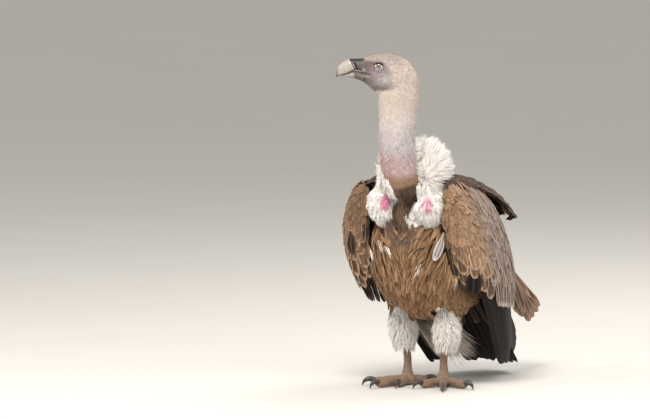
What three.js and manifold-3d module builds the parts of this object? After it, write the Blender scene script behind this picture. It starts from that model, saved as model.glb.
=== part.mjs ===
// A griffon vulture (Gyps fulvus), an adult, standing at life size with its neck up and its head turned to
// its right. Millimetres, +Z up. The bird faces -Y and its left side is +X; the floor is Z = 0.
// Each named mesh is one part of the body, cut by its neighbours with a small gap, so that none overlap.
import * as THREE from "three";
import { mergeVertices } from "three/addons/utils/BufferGeometryUtils.js";
import Module from "manifold-3d";

const wasm = await Module();
wasm.setup();

// ---------------------------------------------------------------- driving dimensions
const GAP = 0.3; // left between two parts that meet
const HEAD_TURN = THREE.MathUtils.degToRad(63); // from straight ahead towards the bird's right
const EYE_CENTRE = [-49, -130, 713.5]; // between the two eyes
const EYE_RADIUS = 10.5;
const EYE_OUT = 19.5; // from the head's middle plane to the centre of an eye
const FOOT_SPREAD = 44.4; // from the middle of the stance to each foot
const STANCE = [-3.5, 10]; // the middle of the stance
const TOE_LENGTHS = { inner: 68, middle: 104, outer: 78, hind: 46 };
const CLAW_LENGTH = 30;

const COLOURS = {
  brown: 0x7a5a40,
  darkBrown: 0x3a2c22,
  wingBrown: 0x94806d,
  tan: 0x8a6448,
  white: 0xefe8dc,
  cream: 0xd8cabb,
  cropBrown: 0x5d4a40,
  cere: 0x5b5654,
  horn: 0xc9c3ab,
  legSkin: 0xa8927a,
  claw: 0x3a3532,
  amber: 0xb8752e,
};

// ---------------------------------------------------------------- small tools
const vec = (x, y, z) => new THREE.Vector3(x, y, z);
const forward = vec(-Math.sin(HEAD_TURN), -Math.cos(HEAD_TURN), 0); // the way the bill points
const headLeft = vec(-forward.y, forward.x, 0);

// A smooth function of t in [0, 1] through evenly spaced values.
function through(values) {
  const curve = new THREE.SplineCurve(values.map((v, i) => new THREE.Vector2(i, v)));
  return (t) => curve.getPoint(t).y;
}

// The same through evenly spaced points.
function throughPoints(points) {
  const axes = [0, 1, 2].map((k) => through(points.map((p) => p[k])));
  return (t) => vec(axes[0](t), axes[1](t), axes[2](t));
}

// A closed mesh over rings of points, with a pole at each end.
function closedLoft(rings, firstPole, lastPole) {
  const sides = rings[0].length;
  const points = [firstPole, ...rings.flat(), lastPole];
  const last = points.length - 1;
  const faces = [];
  for (let k = 0; k < sides; k++) {
    const next = (k + 1) % sides;
    faces.push(0, 1 + next, 1 + k);
    for (let r = 0; r + 1 < rings.length; r++) {
      const a = 1 + r * sides;
      const b = a + sides;
      faces.push(a + k, a + next, b + k, b + k, a + next, b + next);
    }
    const end = 1 + (rings.length - 1) * sides;
    faces.push(end + k, end + next, last);
  }
  return meshOf(points, faces);
}

function meshOf(points, faces) {
  const geometry = new THREE.BufferGeometry().setFromPoints(points);
  geometry.setIndex(faces);
  return facingOut(geometry);
}

// Turns a closed mesh's faces round if they point inwards.
function facingOut(geometry) {
  const p = geometry.getAttribute("position");
  const index = geometry.index.array;
  const [a, b, c] = [vec(0, 0, 0), vec(0, 0, 0), vec(0, 0, 0)];
  let volume = 0;
  for (let i = 0; i < index.length; i += 3) {
    a.fromBufferAttribute(p, index[i]);
    b.fromBufferAttribute(p, index[i + 1]);
    c.fromBufferAttribute(p, index[i + 2]);
    volume += a.dot(b.cross(c));
  }
  if (volume < 0) {
    for (let i = 0; i < index.length; i += 3) {
      [index[i + 1], index[i + 2]] = [index[i + 2], index[i + 1]];
    }
  }
  return geometry;
}

// A ring of points round a centre: across and up are its axes, wide, top and bottom its half sizes, and a
// power over 2 makes it squarer.
function ring(centre, across, up, { wide, top, bottom, power = 2, sides }) {
  return Array.from({ length: sides }, (_, k) => {
    const angle = ((k + 0.5) / sides) * 2 * Math.PI;
    const c = Math.cos(angle);
    const s = Math.sin(angle);
    const x = Math.sign(c) * Math.abs(c) ** (2 / power) * wide;
    const z = Math.sign(s) * Math.abs(s) ** (2 / power) * (s > 0 ? top : bottom);
    return centre.clone().addScaledVector(across, x).addScaledVector(up, z);
  });
}

// A body whose slices stand across one axis: each station is [along, top, bottom, half width].
// place(along, height) gives the point on its middle plane.
function slicedBody({ stations, place, across, poles, steps, sides, power = 2 }) {
  const [along, top, bottom, wide] = [0, 1, 2, 3].map((k) => through(stations.map((s) => s[k])));
  const up = vec(0, 0, 1);
  const rings = [];
  for (let i = 0; i <= steps; i++) {
    const t = i / steps;
    const half = (top(t) - bottom(t)) / 2;
    const centre = place(along(t), (top(t) + bottom(t)) / 2);
    rings.push(ring(centre, across, up, { wide: wide(t), top: half, bottom: half, power, sides }));
  }
  return closedLoft(rings, place(...poles[0]), place(...poles[1]));
}

// A tube along a curve, with a half width and a half height at each step.
function limb({ points, wide, high, steps, sides, power = 2, side = vec(1, 0, 0) }) {
  const curve = new THREE.CatmullRomCurve3(points.map((p) => vec(...p)));
  const [w, h] = [through(wide), through(high)];
  const rings = [];
  for (let i = 0; i <= steps; i++) {
    const t = i / steps;
    const ahead = curve.getTangent(t);
    const up = ahead.clone().cross(side).normalize();
    const across = up.clone().cross(ahead).normalize();
    rings.push(ring(curve.getPoint(t), across, up, { wide: w(t), top: h(t), bottom: h(t), power, sides }));
  }
  return closedLoft(rings, curve.getPoint(0), curve.getPoint(1));
}

// A sheet of overlapping feathers with thickness. Each column holds its root, middle and tip. The sheet
// reaches furthest on the feathers' shafts and is a little raised there, and it dips between two feathers.
const VANE_RIDGE = 1.2;
const SMALL_STEP = 0.01;
function featherFan({ columns, feathers, rows, thick, inward, tipRound = 12 }) {
  const lines = [0, 1, 2].map((k) => throughPoints(columns.map((c) => c[k])));
  const point = (s, t) => {
    const [root, middle, tip] = lines.map((line) => line(t));
    const bend = middle.multiplyScalar(2).addScaledVector(root, -0.5).addScaledVector(tip, -0.5);
    root.multiplyScalar((1 - s) ** 2).addScaledVector(bend, 2 * s * (1 - s));
    return root.addScaledVector(tip, s * s);
  };
  const outer = [];
  const inner = [];
  const count = feathers * 2;
  for (let j = 0; j <= count; j++) {
    const t = j / count;
    const between = j % 2 === 0 ? 1 : 0;
    const length = point(0, t).distanceTo(point(1, t));
    const reach = 1 - (tipRound * between) / length;
    const tBack = Math.min(t, 1 - SMALL_STEP);
    outer.push([]);
    inner.push([]);
    for (let i = 0; i <= rows; i++) {
      const s = (i / rows) * reach;
      const p = point(s, t);
      const along = point(s + SMALL_STEP, t).sub(p);
      const over = point(s, tBack + SMALL_STEP).sub(point(s, tBack));
      const inwards = inward(p, along.cross(over).normalize());
      outer[j].push(p.clone().addScaledVector(inwards, VANE_RIDGE * s * between));
      inner[j].push(p.clone().addScaledVector(inwards, VANE_RIDGE + thick(i / rows)));
    }
  }
  return slab(outer, inner);
}

// A closed slab between two grids of points.
function slab(outer, inner) {
  const [m, n] = [outer.length, outer[0].length];
  const points = [...outer.flat(), ...inner.flat()];
  const at = (layer, j, i) => layer * m * n + j * n + i;
  const faces = [];
  const quad = (a, b, c, d) => faces.push(a, b, c, a, c, d);
  for (let j = 0; j + 1 < m; j++) {
    for (let i = 0; i + 1 < n; i++) {
      quad(at(0, j, i), at(0, j + 1, i), at(0, j + 1, i + 1), at(0, j, i + 1));
      quad(at(1, j, i), at(1, j, i + 1), at(1, j + 1, i + 1), at(1, j + 1, i));
    }
    quad(at(0, j, 0), at(1, j, 0), at(1, j + 1, 0), at(0, j + 1, 0));
    quad(at(0, j, n - 1), at(0, j + 1, n - 1), at(1, j + 1, n - 1), at(1, j, n - 1));
  }
  for (let i = 0; i + 1 < n; i++) {
    quad(at(0, 0, i), at(0, 0, i + 1), at(1, 0, i + 1), at(1, 0, i));
    quad(at(0, m - 1, i), at(1, m - 1, i), at(1, m - 1, i + 1), at(0, m - 1, i + 1));
  }
  return meshOf(points, faces);
}

function ellipsoid(centre, radii, columns = 16, rows = 10) {
  const g = new THREE.SphereGeometry(1, columns, rows);
  return g.rotateX(Math.PI / 2).scale(...radii).translate(...centre);
}

// The same shape on the other side of the bird.
function mirrored(geometry) {
  const g = geometry.clone().scale(-1, 1, 1);
  return facingOut(joined(g));
}

// ---------------------------------------------------------------- joins and cuts
function joined(geometry) {
  const g = geometry.clone();
  for (const name of Object.keys(g.attributes)) {
    if (name !== "position") g.deleteAttribute(name);
  }
  return mergeVertices(g, 1e-3);
}

function solid(geometry) {
  const g = joined(geometry);
  const vertProperties = g.attributes.position.array;
  const triVerts = new Uint32Array(g.index.array);
  return new wasm.Manifold(new wasm.Mesh({ numProp: 3, vertProperties, triVerts }));
}

// The shape moved out by the gap, for cutting a neighbour.
function roomFor(geometry, gap = GAP) {
  const g = joined(geometry);
  g.computeVertexNormals();
  const [p, n] = [g.attributes.position, g.attributes.normal];
  for (let i = 0; i < p.count; i++) {
    p.setXYZ(i, p.getX(i) + n.getX(i) * gap, p.getY(i) + n.getY(i) * gap, p.getZ(i) + n.getZ(i) * gap);
  }
  return solid(g);
}

function geometryOf(made) {
  const mesh = made.getMesh();
  const g = new THREE.BufferGeometry();
  g.setAttribute("position", new THREE.BufferAttribute(new Float32Array(mesh.vertProperties), 3));
  g.setIndex(new THREE.BufferAttribute(new Uint32Array(mesh.triVerts), 1));
  return g;
}

// What is left of a shape once its neighbours' room is cut away: its largest piece.
function clearOf(geometry, neighbours) {
  let left = solid(geometry);
  for (const other of neighbours) left = left.subtract(roomFor(other)).subtract(solid(other));
  const pieces = left.decompose().sort((a, b) => b.volume() - a.volume());
  return geometryOf(pieces[0]);
}

// A box that fills everything past a plane, on the side that the arrow points to, and half a gap more.
function beyond(point, arrow, size = 2000) {
  const towards = vec(...arrow).normalize();
  const turn = new THREE.Quaternion().setFromUnitVectors(vec(0, 0, 1), towards);
  const centre = vec(...point).addScaledVector(towards, size / 2 - GAP / 2);
  return new THREE.BoxGeometry(size, size, size).applyQuaternion(turn).translate(...centre);
}
const UP = [0, 0, 1];
const DOWN = [0, 0, -1];
const BACK = [0, 1, 0];
const AHEAD = [0, -1, 0];
const floor = beyond([0, 0, -GAP / 2], DOWN);

const vulture = new THREE.Group();

function part(name, geometry, colour, roughness = 0.85) {
  geometry.computeVertexNormals();
  const material = new THREE.MeshStandardMaterial({ color: COLOURS[colour], roughness, metalness: 0 });
  const mesh = new THREE.Mesh(geometry, material);
  mesh.name = name;
  vulture.add(mesh);
  return mesh;
}

// ---------------------------------------------------------------- trunk
const onTrunk = (y, z) => vec(0, y, z);
const trunkShape = slicedBody({
  // y, top, bottom, half width
  stations: [
    [-108, 378, 296, 40],
    [-100, 412, 246, 74],
    [-78, 432, 196, 100],
    [-36, 446, 160, 116],
    [20, 450, 146, 124],
    [80, 445, 150, 124],
    [140, 426, 162, 114],
    [190, 404, 174, 96],
    [235, 372, 186, 74],
    [275, 334, 198, 50],
    [305, 298, 210, 28],
  ],
  place: onTrunk,
  across: vec(1, 0, 0),
  poles: [[-111, 338], [318, 256]],
  steps: 11,
  sides: 16,
  power: 2.15,
});
const RUMP_FROM = [0, 128, 0]; // the trunk ends here and the rump goes on behind it

// ---------------------------------------------------------------- neck and head
const alongHead = (f, z) => vec(...EYE_CENTRE).setZ(z).addScaledVector(forward, f);
const headShape = slicedBody({
  // forward of the eyes, top, bottom, half width
  stations: [
    [-87, 690, 656, 14],
    [-79, 707, 645, 26],
    [-63, 726, 640, 33.5],
    [-44, 736.5, 640, 36.5],
    [-24, 741.5, 640, 36.5],
    [-4, 741, 645, 33],
    [12, 738, 657, 27.5],
    [27, 733.5, 670, 21],
    [38, 728.5, 677, 16.5],
  ],
  place: alongHead,
  across: headLeft,
  poles: [[-90, 672], [39.5, 703]],
  steps: 9,
  sides: 12,
});

// The neck stands on its centre line, with slices across it that are longest along the head's own axis.
function standingNeck({ centres, foreAft, sideways, steps, sides }) {
  const [centre, f, w] = [throughPoints(centres), through(foreAft), through(sideways)];
  const rings = [];
  for (let i = 0; i <= steps; i++) {
    const t = i / steps;
    rings.push(ring(centre(t), headLeft, forward, { wide: w(t), top: f(t), bottom: f(t), sides }));
  }
  return closedLoft(rings, centre(0), centre(1));
}
const neckShape = standingNeck({
  centres: [
    [2, -84, 418],
    [2, -104, 436],
    [-4, -108, 466],
    [-11, -111, 505],
    [-14, -112, 550],
    [-12, -112, 596],
    [-10, -111, 640],
    [-10, -110, 672],
    [-15, -113, 700],
  ],
  foreAft: [26, 43, 43, 41.5, 39, 41, 45.5, 43, 28],
  sideways: [32, 46, 44, 41, 38, 38, 37, 33, 24],
  steps: 10,
  sides: 12,
});
const NECK_CUT = [0, 0, 545]; // where the neck's two lengths meet
const THROAT_CUT = { point: [-49, -130, 652], up: [-0.3, -0.15, 1] }; // where the head meets the neck
const throatDown = THROAT_CUT.up.map((k) => -k);

// ---------------------------------------------------------------- bill and eyes
const billUpperShape = slicedBody({
  stations: [
    [36, 727.8, 699, 14.5],
    [47, 728, 704.5, 14],
    [58, 727, 703, 13],
    [68, 725, 698.5, 12.5],
    [77, 721.5, 694.5, 11],
    [85, 715, 692.5, 8.6],
    [90.5, 706, 690.5, 5.8],
    [93.5, 698, 688.5, 3],
  ],
  place: alongHead,
  across: headLeft,
  poles: [[35.5, 714], [94.5, 687.5]],
  steps: 9,
  sides: 12,
  power: 2.2,
});
const CERE_FRONT = 56; // forward of the eyes
const billLowerShape = slicedBody({
  stations: [
    [34, 698, 677, 13],
    [46, 703.5, 683.5, 11.5],
    [57, 702, 687.5, 10.5],
    [68, 697.5, 689, 9],
    [78, 693, 689.5, 5.5],
  ],
  place: alongHead,
  across: headLeft,
  poles: [[33, 687], [82, 691]],
  steps: 6,
  sides: 10,
});
function headSlice(from, to) {
  const box = new THREE.BoxGeometry(to - from, 200, 200).translate((from + to) / 2, 0, 0);
  const basis = new THREE.Matrix4().makeBasis(forward, headLeft, vec(0, 0, 1));
  return box.applyMatrix4(basis).translate(...EYE_CENTRE);
}
const eyeShapes = Object.fromEntries(
  Object.entries({ left: 1, right: -1 }).map(([side, sign]) => {
    const at = vec(...EYE_CENTRE).addScaledVector(headLeft, sign * EYE_OUT);
    return [side, ellipsoid(at.toArray(), [EYE_RADIUS, EYE_RADIUS, EYE_RADIUS], 10, 6)];
  }),
);

// ---------------------------------------------------------------- ruff, crop and shoulder patches
const RUFF = { centre: [2, -84], radius: 60, sweep: 120, back: 486, ends: 442 };
function ruffShape() {
  const wide = through([12, 24, 38, 43, 40, 24, 12]);
  const high = through([20, 36, 54, 60, 58, 40, 22]);
  const rings = [];
  const poles = [];
  const steps = 8;
  for (let i = 0; i <= steps; i++) {
    const t = i / steps;
    const angle = THREE.MathUtils.degToRad((2 * t - 1) * RUFF.sweep);
    const out = vec(Math.sin(angle), Math.cos(angle), 0);
    const height = RUFF.ends + (RUFF.back - RUFF.ends) * (1 - (2 * t - 1) ** 2);
    const at = vec(...RUFF.centre, height).addScaledVector(out, RUFF.radius);
    rings.push(ring(at, out, vec(0, 0, 1), { wide: wide(t), top: high(t), bottom: high(t), sides: 10 }));
    if (i === 0 || i === steps) poles.push(at);
  }
  return closedLoft(rings, poles[0], poles[1]);
}
const ruff = ruffShape();
const patchShape = ellipsoid([56, -88, 408], [40, 38, 46], 10, 6);
const cropShape = ellipsoid([0, -88, 388], [34, 38, 52], 10, 6);

// ---------------------------------------------------------------- wings and tail, the left one drawn
const towardsBody = (p) => vec(26 - p.x, 50 - p.y, 0).normalize();
const faceIn = (side) => (p, normal) => (normal.dot(side) > 0 ? normal : normal.clone().negate());

const covertsShape = featherFan({
  columns: [
    [[92, -96, 430], [95, -92, 336], [103, -42, 238]],
    [[122, -104, 440], [154, -86, 326], [136, -10, 196]],
    [[130, -24, 436], [170, -10, 310], [156, 50, 178]],
    [[122, 68, 414], [162, 92, 290], [149, 126, 168]],
    [[104, 146, 372], [124, 178, 268], [108, 206, 166]],
  ],
  feathers: 6,
  rows: 4,
  thick: (s) => 50 - 44 * s,
  inward: towardsBody,
});
const secondariesShape = featherFan({
  columns: [
    [[134, 14, 232], [114, 112, 134], [86, 212, 30]],
    [[142, 60, 232], [118, 150, 132], [82, 240, 30]],
    [[136, 110, 236], [112, 186, 142], [76, 262, 38]],
    [[112, 166, 250], [92, 232, 158], [66, 296, 60]],
  ],
  feathers: 5,
  rows: 3,
  thick: (s) => 9 - 6 * s,
  inward: faceIn(vec(-1, -0.2, -0.3)),
});
const primariesShape = featherFan({
  columns: [
    [[104, 60, 190], [80, 228, 98], [14, 408, 30]],
    [[104, 96, 214], [74, 246, 128], [30, 392, 50]],
    [[94, 140, 240], [66, 264, 160], [42, 364, 78]],
  ],
  feathers: 4,
  rows: 3,
  thick: (s) => 9 - 6 * s,
  inward: faceIn(vec(-1, -0.2, -0.4)),
});
const tertialsShape = featherFan({
  columns: [
    [[122, 116, 318], [118, 198, 222], [101, 274, 148]],
    [[120, 140, 336], [114, 250, 216], [89, 346, 118]],
    [[104, 172, 346], [96, 292, 232], [74, 404, 148]],
    [[72, 200, 372], [66, 302, 254], [46, 404, 170]],
    [[36, 206, 388], [30, 306, 276], [22, 396, 186]],
  ],
  feathers: 5,
  rows: 3,
  thick: (s) => 12 - 9 * s,
  inward: faceIn(vec(-0.4, -0.3, -1)),
});
const scapularsShape = featherFan({
  columns: [
    [[114, -62, 450], [122, 60, 434], [110, 196, 378]],
    [[84, -72, 460], [96, 76, 446], [88, 264, 356]],
    [[40, -70, 464], [46, 84, 453], [36, 268, 372]],
  ],
  feathers: 4,
  rows: 3,
  thick: (s) => 24 - 18 * s,
  inward: faceIn(vec(-0.2, 0, -1)),
});
const tailShape = featherFan({
  columns: [
    [[-34, 184, 196], [-52, 264, 104], [-60, 340, 22]],
    [[-16, 180, 204], [-26, 276, 112], [-30, 372, 17]],
    [[0, 178, 206], [0, 280, 114], [0, 384, 15]],
    [[16, 180, 204], [26, 276, 112], [30, 372, 17]],
    [[34, 184, 196], [52, 264, 104], [60, 340, 22]],
  ],
  feathers: 6,
  rows: 3,
  thick: (s) => 12 - 8 * s,
  inward: faceIn(vec(0, -0.4, -1)),
  tipRound: 9,
});

// ---------------------------------------------------------------- legs
// The heel is the joint in the white feathers. The toes' angles are degrees outwards from straight ahead.
const LEGS = {
  left: { sign: 1, heel: 50, toes: { inner: -20, middle: 25, outer: 65, hind: -155 } },
  right: { sign: -1, heel: 56, toes: { inner: -10, middle: 13, outer: 48, hind: -135 } },
};

function legShapes({ sign, heel }) {
  const [footX, footY] = [STANCE[0] + sign * FOOT_SPREAD, STANCE[1]];
  const heelX = sign * heel;
  const thigh = limb({
    points: [[sign * 70, 34, 252], [sign * 68, 30, 222], [sign * 62, 18, 190], [heelX + sign * 3, 5, 158]],
    wide: [30, 36, 36, 27],
    high: [48, 56, 46, 28],
    steps: 4,
    sides: 10,
  });
  const sock = limb({
    points: [
      [heelX + sign * 4, 5, 196],
      [heelX + sign * 2, 5, 158],
      [heelX, 6, 122],
      [heelX - sign * 2, 7, 90],
      [footX + sign, 9, 58],
    ],
    wide: [22, 29, 31, 24, 12],
    high: [24, 31, 32, 25, 13],
    steps: 7,
    sides: 10,
  });
  const tarsus = limb({
    points: [[heelX - sign * 3, 8, 100], [footX, footY, 60], [footX, footY, 36], [footX, footY, 17]],
    wide: [9, 8.6, 10, 17],
    high: [9.5, 9.5, 11, 17],
    steps: 4,
    sides: 8,
  });
  const palm = ellipsoid([footX, footY, 11.5], [20, 21, 14.5], 8, 5);
  return { thigh, sock, foot: onFloor(solid(tarsus).add(solid(palm))) };
}

// A toe from the palm's middle to its tip, with a swelling at each joint, and its claw.
function toeShapes({ sign, toes }, finger) {
  const angle = THREE.MathUtils.degToRad(sign * toes[finger]);
  const out = vec(Math.sin(angle), -Math.cos(angle), 0);
  const start = vec(STANCE[0] + sign * FOOT_SPREAD, STANCE[1], 0);
  const at = (d, z) => start.clone().addScaledVector(out, d).setZ(z).toArray();
  const length = TOE_LENGTHS[finger];
  const side = vec(-out.y, out.x, 0);
  const toe = limb({
    points: [at(4, 11), at(length * 0.35, 12), at(length * 0.7, 10.5), at(length, 10)],
    wide: [9.5, 8, 9, 7.4, 8.6, 7, 5],
    high: [10, 11, 9.5, 10.2, 9, 9.6, 6.5],
    steps: 5,
    sides: 6,
    side,
  });
  const clawTip = length + CLAW_LENGTH - 4;
  const claw = limb({
    points: [at(length - 5, 11), at(length + 8, 16), at(length + 20, 11.5), at(clawTip, 0.6)],
    wide: [5, 4.6, 3.2, 1],
    high: [6.5, 6, 4, 1.2],
    steps: 4,
    sides: 5,
    side,
  });
  return { toe: onFloor(solid(toe)), claw: onFloor(solid(claw)) };
}

// Flat where it stands on the floor.
function onFloor(made) {
  return geometryOf(made.subtract(solid(floor)));
}

// ---------------------------------------------------------------- the parts, each cut by those before it
const bothSides = Object.entries({ left: (g) => g, right: mirrored });
const headAndNeck = geometryOf(solid(headShape).add(solid(neckShape)));
const throat = (arrow) => beyond(THROAT_CUT.point, arrow);
const onBack = bothSides.flatMap(([, place]) => [scapularsShape, tertialsShape].map(place));

part("trunk", clearOf(trunkShape, [beyond(RUMP_FROM, BACK), ...onBack]), "brown");
part("rump", clearOf(trunkShape, [beyond(RUMP_FROM, AHEAD), ...onBack]), "brown");
part("head", clearOf(headAndNeck, [throat(throatDown), eyeShapes.left, eyeShapes.right]), "cream");
part("neck_upper", clearOf(headAndNeck, [throat(THROAT_CUT.up), beyond(NECK_CUT, DOWN)]), "cream");
part("neck_lower", clearOf(headAndNeck, [trunkShape, beyond(NECK_CUT, UP)]), "cream");
part("cere", clearOf(billUpperShape, [headShape, headSlice(CERE_FRONT, 200)]), "cere", 0.5);
part("bill_upper", clearOf(billUpperShape, [headSlice(-100, CERE_FRONT)]), "horn", 0.35);
part("bill_lower", clearOf(billLowerShape, [headShape, billUpperShape]), "horn", 0.4);
part("eye_left", eyeShapes.left, "amber", 0.1);
part("eye_right", eyeShapes.right, "amber", 0.1);
part("ruff", clearOf(ruff, [neckShape, trunkShape]), "white");
part("crop", clearOf(cropShape, [neckShape, trunkShape, ruff]), "cropBrown");
part("tail", clearOf(tailShape, [trunkShape]), "darkBrown");

for (const [side, place] of bothSides) {
  const [coverts, secondaries, primaries] = [covertsShape, secondariesShape, primariesShape].map(place);
  const [tertials, scapulars, patch] = [tertialsShape, scapularsShape, patchShape].map(place);
  const { thigh, sock, foot } = legShapes(LEGS[side]);
  const nearNeck = [neckShape, trunkShape, ruff, cropShape];
  part(`wing_${side}_coverts`, clearOf(coverts, [trunkShape]), "wingBrown");
  part(`wing_${side}_scapulars`, clearOf(scapulars, [ruff, coverts]), "brown");
  part(`shoulder_patch_${side}`, clearOf(patch, [...nearNeck, coverts, scapulars]), "white");
  part(`wing_${side}_secondaries`, clearOf(secondaries, [trunkShape, coverts]), "darkBrown");
  part(`wing_${side}_tertials`, clearOf(tertials, [coverts, scapulars, secondaries]), "tan");
  const overPrimaries = [trunkShape, coverts, secondaries, tertials, tailShape];
  part(`wing_${side}_primaries`, clearOf(primaries, overPrimaries), "darkBrown");
  part(`leg_${side}_thigh`, clearOf(thigh, [trunkShape, coverts, secondaries, sock]), "brown");
  part(`leg_${side}_sock`, clearOf(sock, [trunkShape]), "white");
  part(`leg_${side}_tarsus`, clearOf(foot, [sock]), "legSkin", 0.6);
  const before = [foot];
  for (const finger of Object.keys(TOE_LENGTHS)) {
    const { toe, claw } = toeShapes(LEGS[side], finger);
    part(`toe_${side}_${finger}`, clearOf(toe, before), "legSkin", 0.6);
    part(`claw_${side}_${finger}`, clearOf(claw, [toe]), "claw", 0.3);
    before.push(toe);
  }
}

// The part's own origin is on the floor under the middle of its box.
const box = new THREE.Box3().setFromObject(vulture);
const middle = box.getCenter(vec(0, 0, 0));
vulture.position.set(-middle.x, -middle.y, -box.min.z);

export default vulture;
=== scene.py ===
import math

import bpy
import numpy as np
from mathutils import Matrix, Vector
from mathutils.bvhtree import BVHTree
from mathutils.kdtree import KDTree

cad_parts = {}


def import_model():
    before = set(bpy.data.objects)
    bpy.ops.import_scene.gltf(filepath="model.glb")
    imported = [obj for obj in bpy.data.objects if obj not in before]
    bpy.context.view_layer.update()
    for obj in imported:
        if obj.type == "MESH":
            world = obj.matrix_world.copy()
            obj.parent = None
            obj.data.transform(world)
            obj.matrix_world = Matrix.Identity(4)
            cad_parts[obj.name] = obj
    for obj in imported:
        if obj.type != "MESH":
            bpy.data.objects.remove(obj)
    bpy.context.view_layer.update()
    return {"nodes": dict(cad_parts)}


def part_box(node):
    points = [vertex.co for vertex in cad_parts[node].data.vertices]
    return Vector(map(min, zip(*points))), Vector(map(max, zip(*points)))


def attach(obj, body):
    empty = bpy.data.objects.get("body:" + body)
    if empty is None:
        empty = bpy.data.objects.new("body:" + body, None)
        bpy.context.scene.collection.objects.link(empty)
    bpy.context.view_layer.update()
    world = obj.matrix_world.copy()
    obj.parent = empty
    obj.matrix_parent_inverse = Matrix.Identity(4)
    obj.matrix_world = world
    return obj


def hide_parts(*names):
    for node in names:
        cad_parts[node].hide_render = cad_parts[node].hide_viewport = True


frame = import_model()
SEED = 11

# ---------------------------------------------------------------- the bird's own frame
MM = 0.001
EYE_CENTRE = np.array([-49.0, -130.0, 713.5])  # between the two eyes
EYE_RADIUS = 10.5
EYE_OUT = 19.5  # from the head's middle plane to the centre of an eye
HEAD_TURN = math.radians(63)  # from straight ahead towards the bird's right
FORWARD = np.array([-math.sin(HEAD_TURN), -math.cos(HEAD_TURN), 0.0])
HEAD_LEFT = np.array([-FORWARD[1], FORWARD[0], 0.0])
UP = np.array([0.0, 0.0, 1.0])
SIDES = {"left": 1, "right": -1}


def middle_of(node):
    low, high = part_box(node)
    return (np.array(low) + np.array(high)) / 2


ORIGIN = (middle_of("eye_left") + middle_of("eye_right")) / 2 - EYE_CENTRE * MM


def world(points):
    return np.asarray(points, float) * MM + ORIGIN


def bird(points):
    return (np.asarray(points, float) - ORIGIN) / MM


def head_place(f, left, z):
    """The point at f forward of the eyes, left of the head's middle plane and at height z."""
    f, left, z = np.broadcast_arrays(*[np.asarray(k, float)[..., None] for k in (f, left, z)])
    flat = EYE_CENTRE * [1, 1, 0]
    return flat + f * FORWARD + left * HEAD_LEFT + z * UP


def on_head_middle(f, z):
    return head_place(f, 0, z)


def head_frame(points):
    """How far forward of the eyes, how far left, and how high each point is."""
    from_eyes = points - EYE_CENTRE
    return from_eyes @ FORWARD, from_eyes @ HEAD_LEFT, points[..., 2]


# ---------------------------------------------------------------- curves and colours
def through(values, t):
    """A smooth curve through evenly spaced values or points, at t from 0 to 1."""
    v = np.asarray(values, float)
    t = np.clip(np.asarray(t, float), 0, 1) * (len(v) - 1)
    i = np.minimum(t.astype(int), len(v) - 2)
    w = (t - i).reshape(t.shape + (1,) * (v.ndim - 1))
    before, a, b, after = v[np.maximum(i - 1, 0)], v[i], v[i + 1], v[np.minimum(i + 2, len(v) - 1)]
    leave, arrive = (b - before) / 2, (after - a) / 2
    cubic = 2 * a - 2 * b + leave + arrive
    square = 3 * b - 3 * a - 2 * leave - arrive
    return ((cubic * w + square) * w + leave) * w + a


def unit(v):
    return v / np.maximum(np.linalg.norm(v, axis=-1, keepdims=True), 1e-9)


def smooth(low, high, x):
    t = np.clip((np.asarray(x, float) - low) / (high - low), 0, 1)
    return t * t * (3 - 2 * t)


def bump_at(x, centre, half_width):
    return np.exp(-(((x - centre) / half_width) ** 2))


def colour(red, green, blue):
    """A colour given in the 0 to 255 of a screen, as light."""
    c = np.array([red, green, blue]) / 255
    return np.where(c <= 0.04045, c / 12.92, ((c + 0.055) / 1.055) ** 2.4)


def mix(a, b, weight):
    w = np.asarray(weight)[..., None]
    return a * (1 - w) + b * w


CREAM = colour(186, 172, 160)
CROWN = colour(156, 145, 136)
NECK_CREAM = colour(202, 194, 189)
FACE_GREY = colour(108, 96, 92)
LORES = colour(92, 81, 76)
MAUVE = colour(112, 89, 96)
CHEEK = colour(157, 150, 150)
NECK_MAUVE = colour(157, 134, 137)
NECK_BLUE = colour(173, 168, 172)
NECK_PINK = colour(154, 122, 116)
CROP_BUFF = colour(126, 100, 76)
CROP_DARK = colour(82, 62, 52)
WHITE_DOWN = colour(255, 252, 248)
RUFF_CREAM = colour(253, 246, 236)
RUFF_BASE = colour(249, 238, 222)
PINK = colour(243, 152, 188)
BODY_SKIN = colour(84, 64, 50)
LEG_SKIN = colour(134, 113, 92)
TOE_SKIN = colour(142, 119, 98)
BREAST = colour(124, 88, 58)
BREAST_PALE = colour(192, 156, 120)
BREAST_DARK = colour(76, 56, 40)
FRONT_COVERT = colour(168, 131, 100)
COVERT_FRINGE = colour(212, 180, 150)
REAR_COVERT = colour(150, 127, 111)
REAR_STREAK = colour(219, 203, 192)
COVERT_DARK = colour(66, 52, 44)
QUILL_DARK = colour(13, 8, 5)
QUILL_GREY = colour(35, 25, 19)
BUSTLE = colour(88, 57, 42)
BUSTLE_EDGE = colour(186, 150, 124)
BACK_BROWN = colour(88, 66, 51)
BACK_FRINGE = colour(126, 102, 82)
PLUME_GREY = colour(206, 194, 182)
HORN = colour(168, 160, 152)
HORN_TIP = colour(66, 57, 50)
CERE = colour(24, 27, 34)
CLAW = colour(50, 45, 44)


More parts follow.
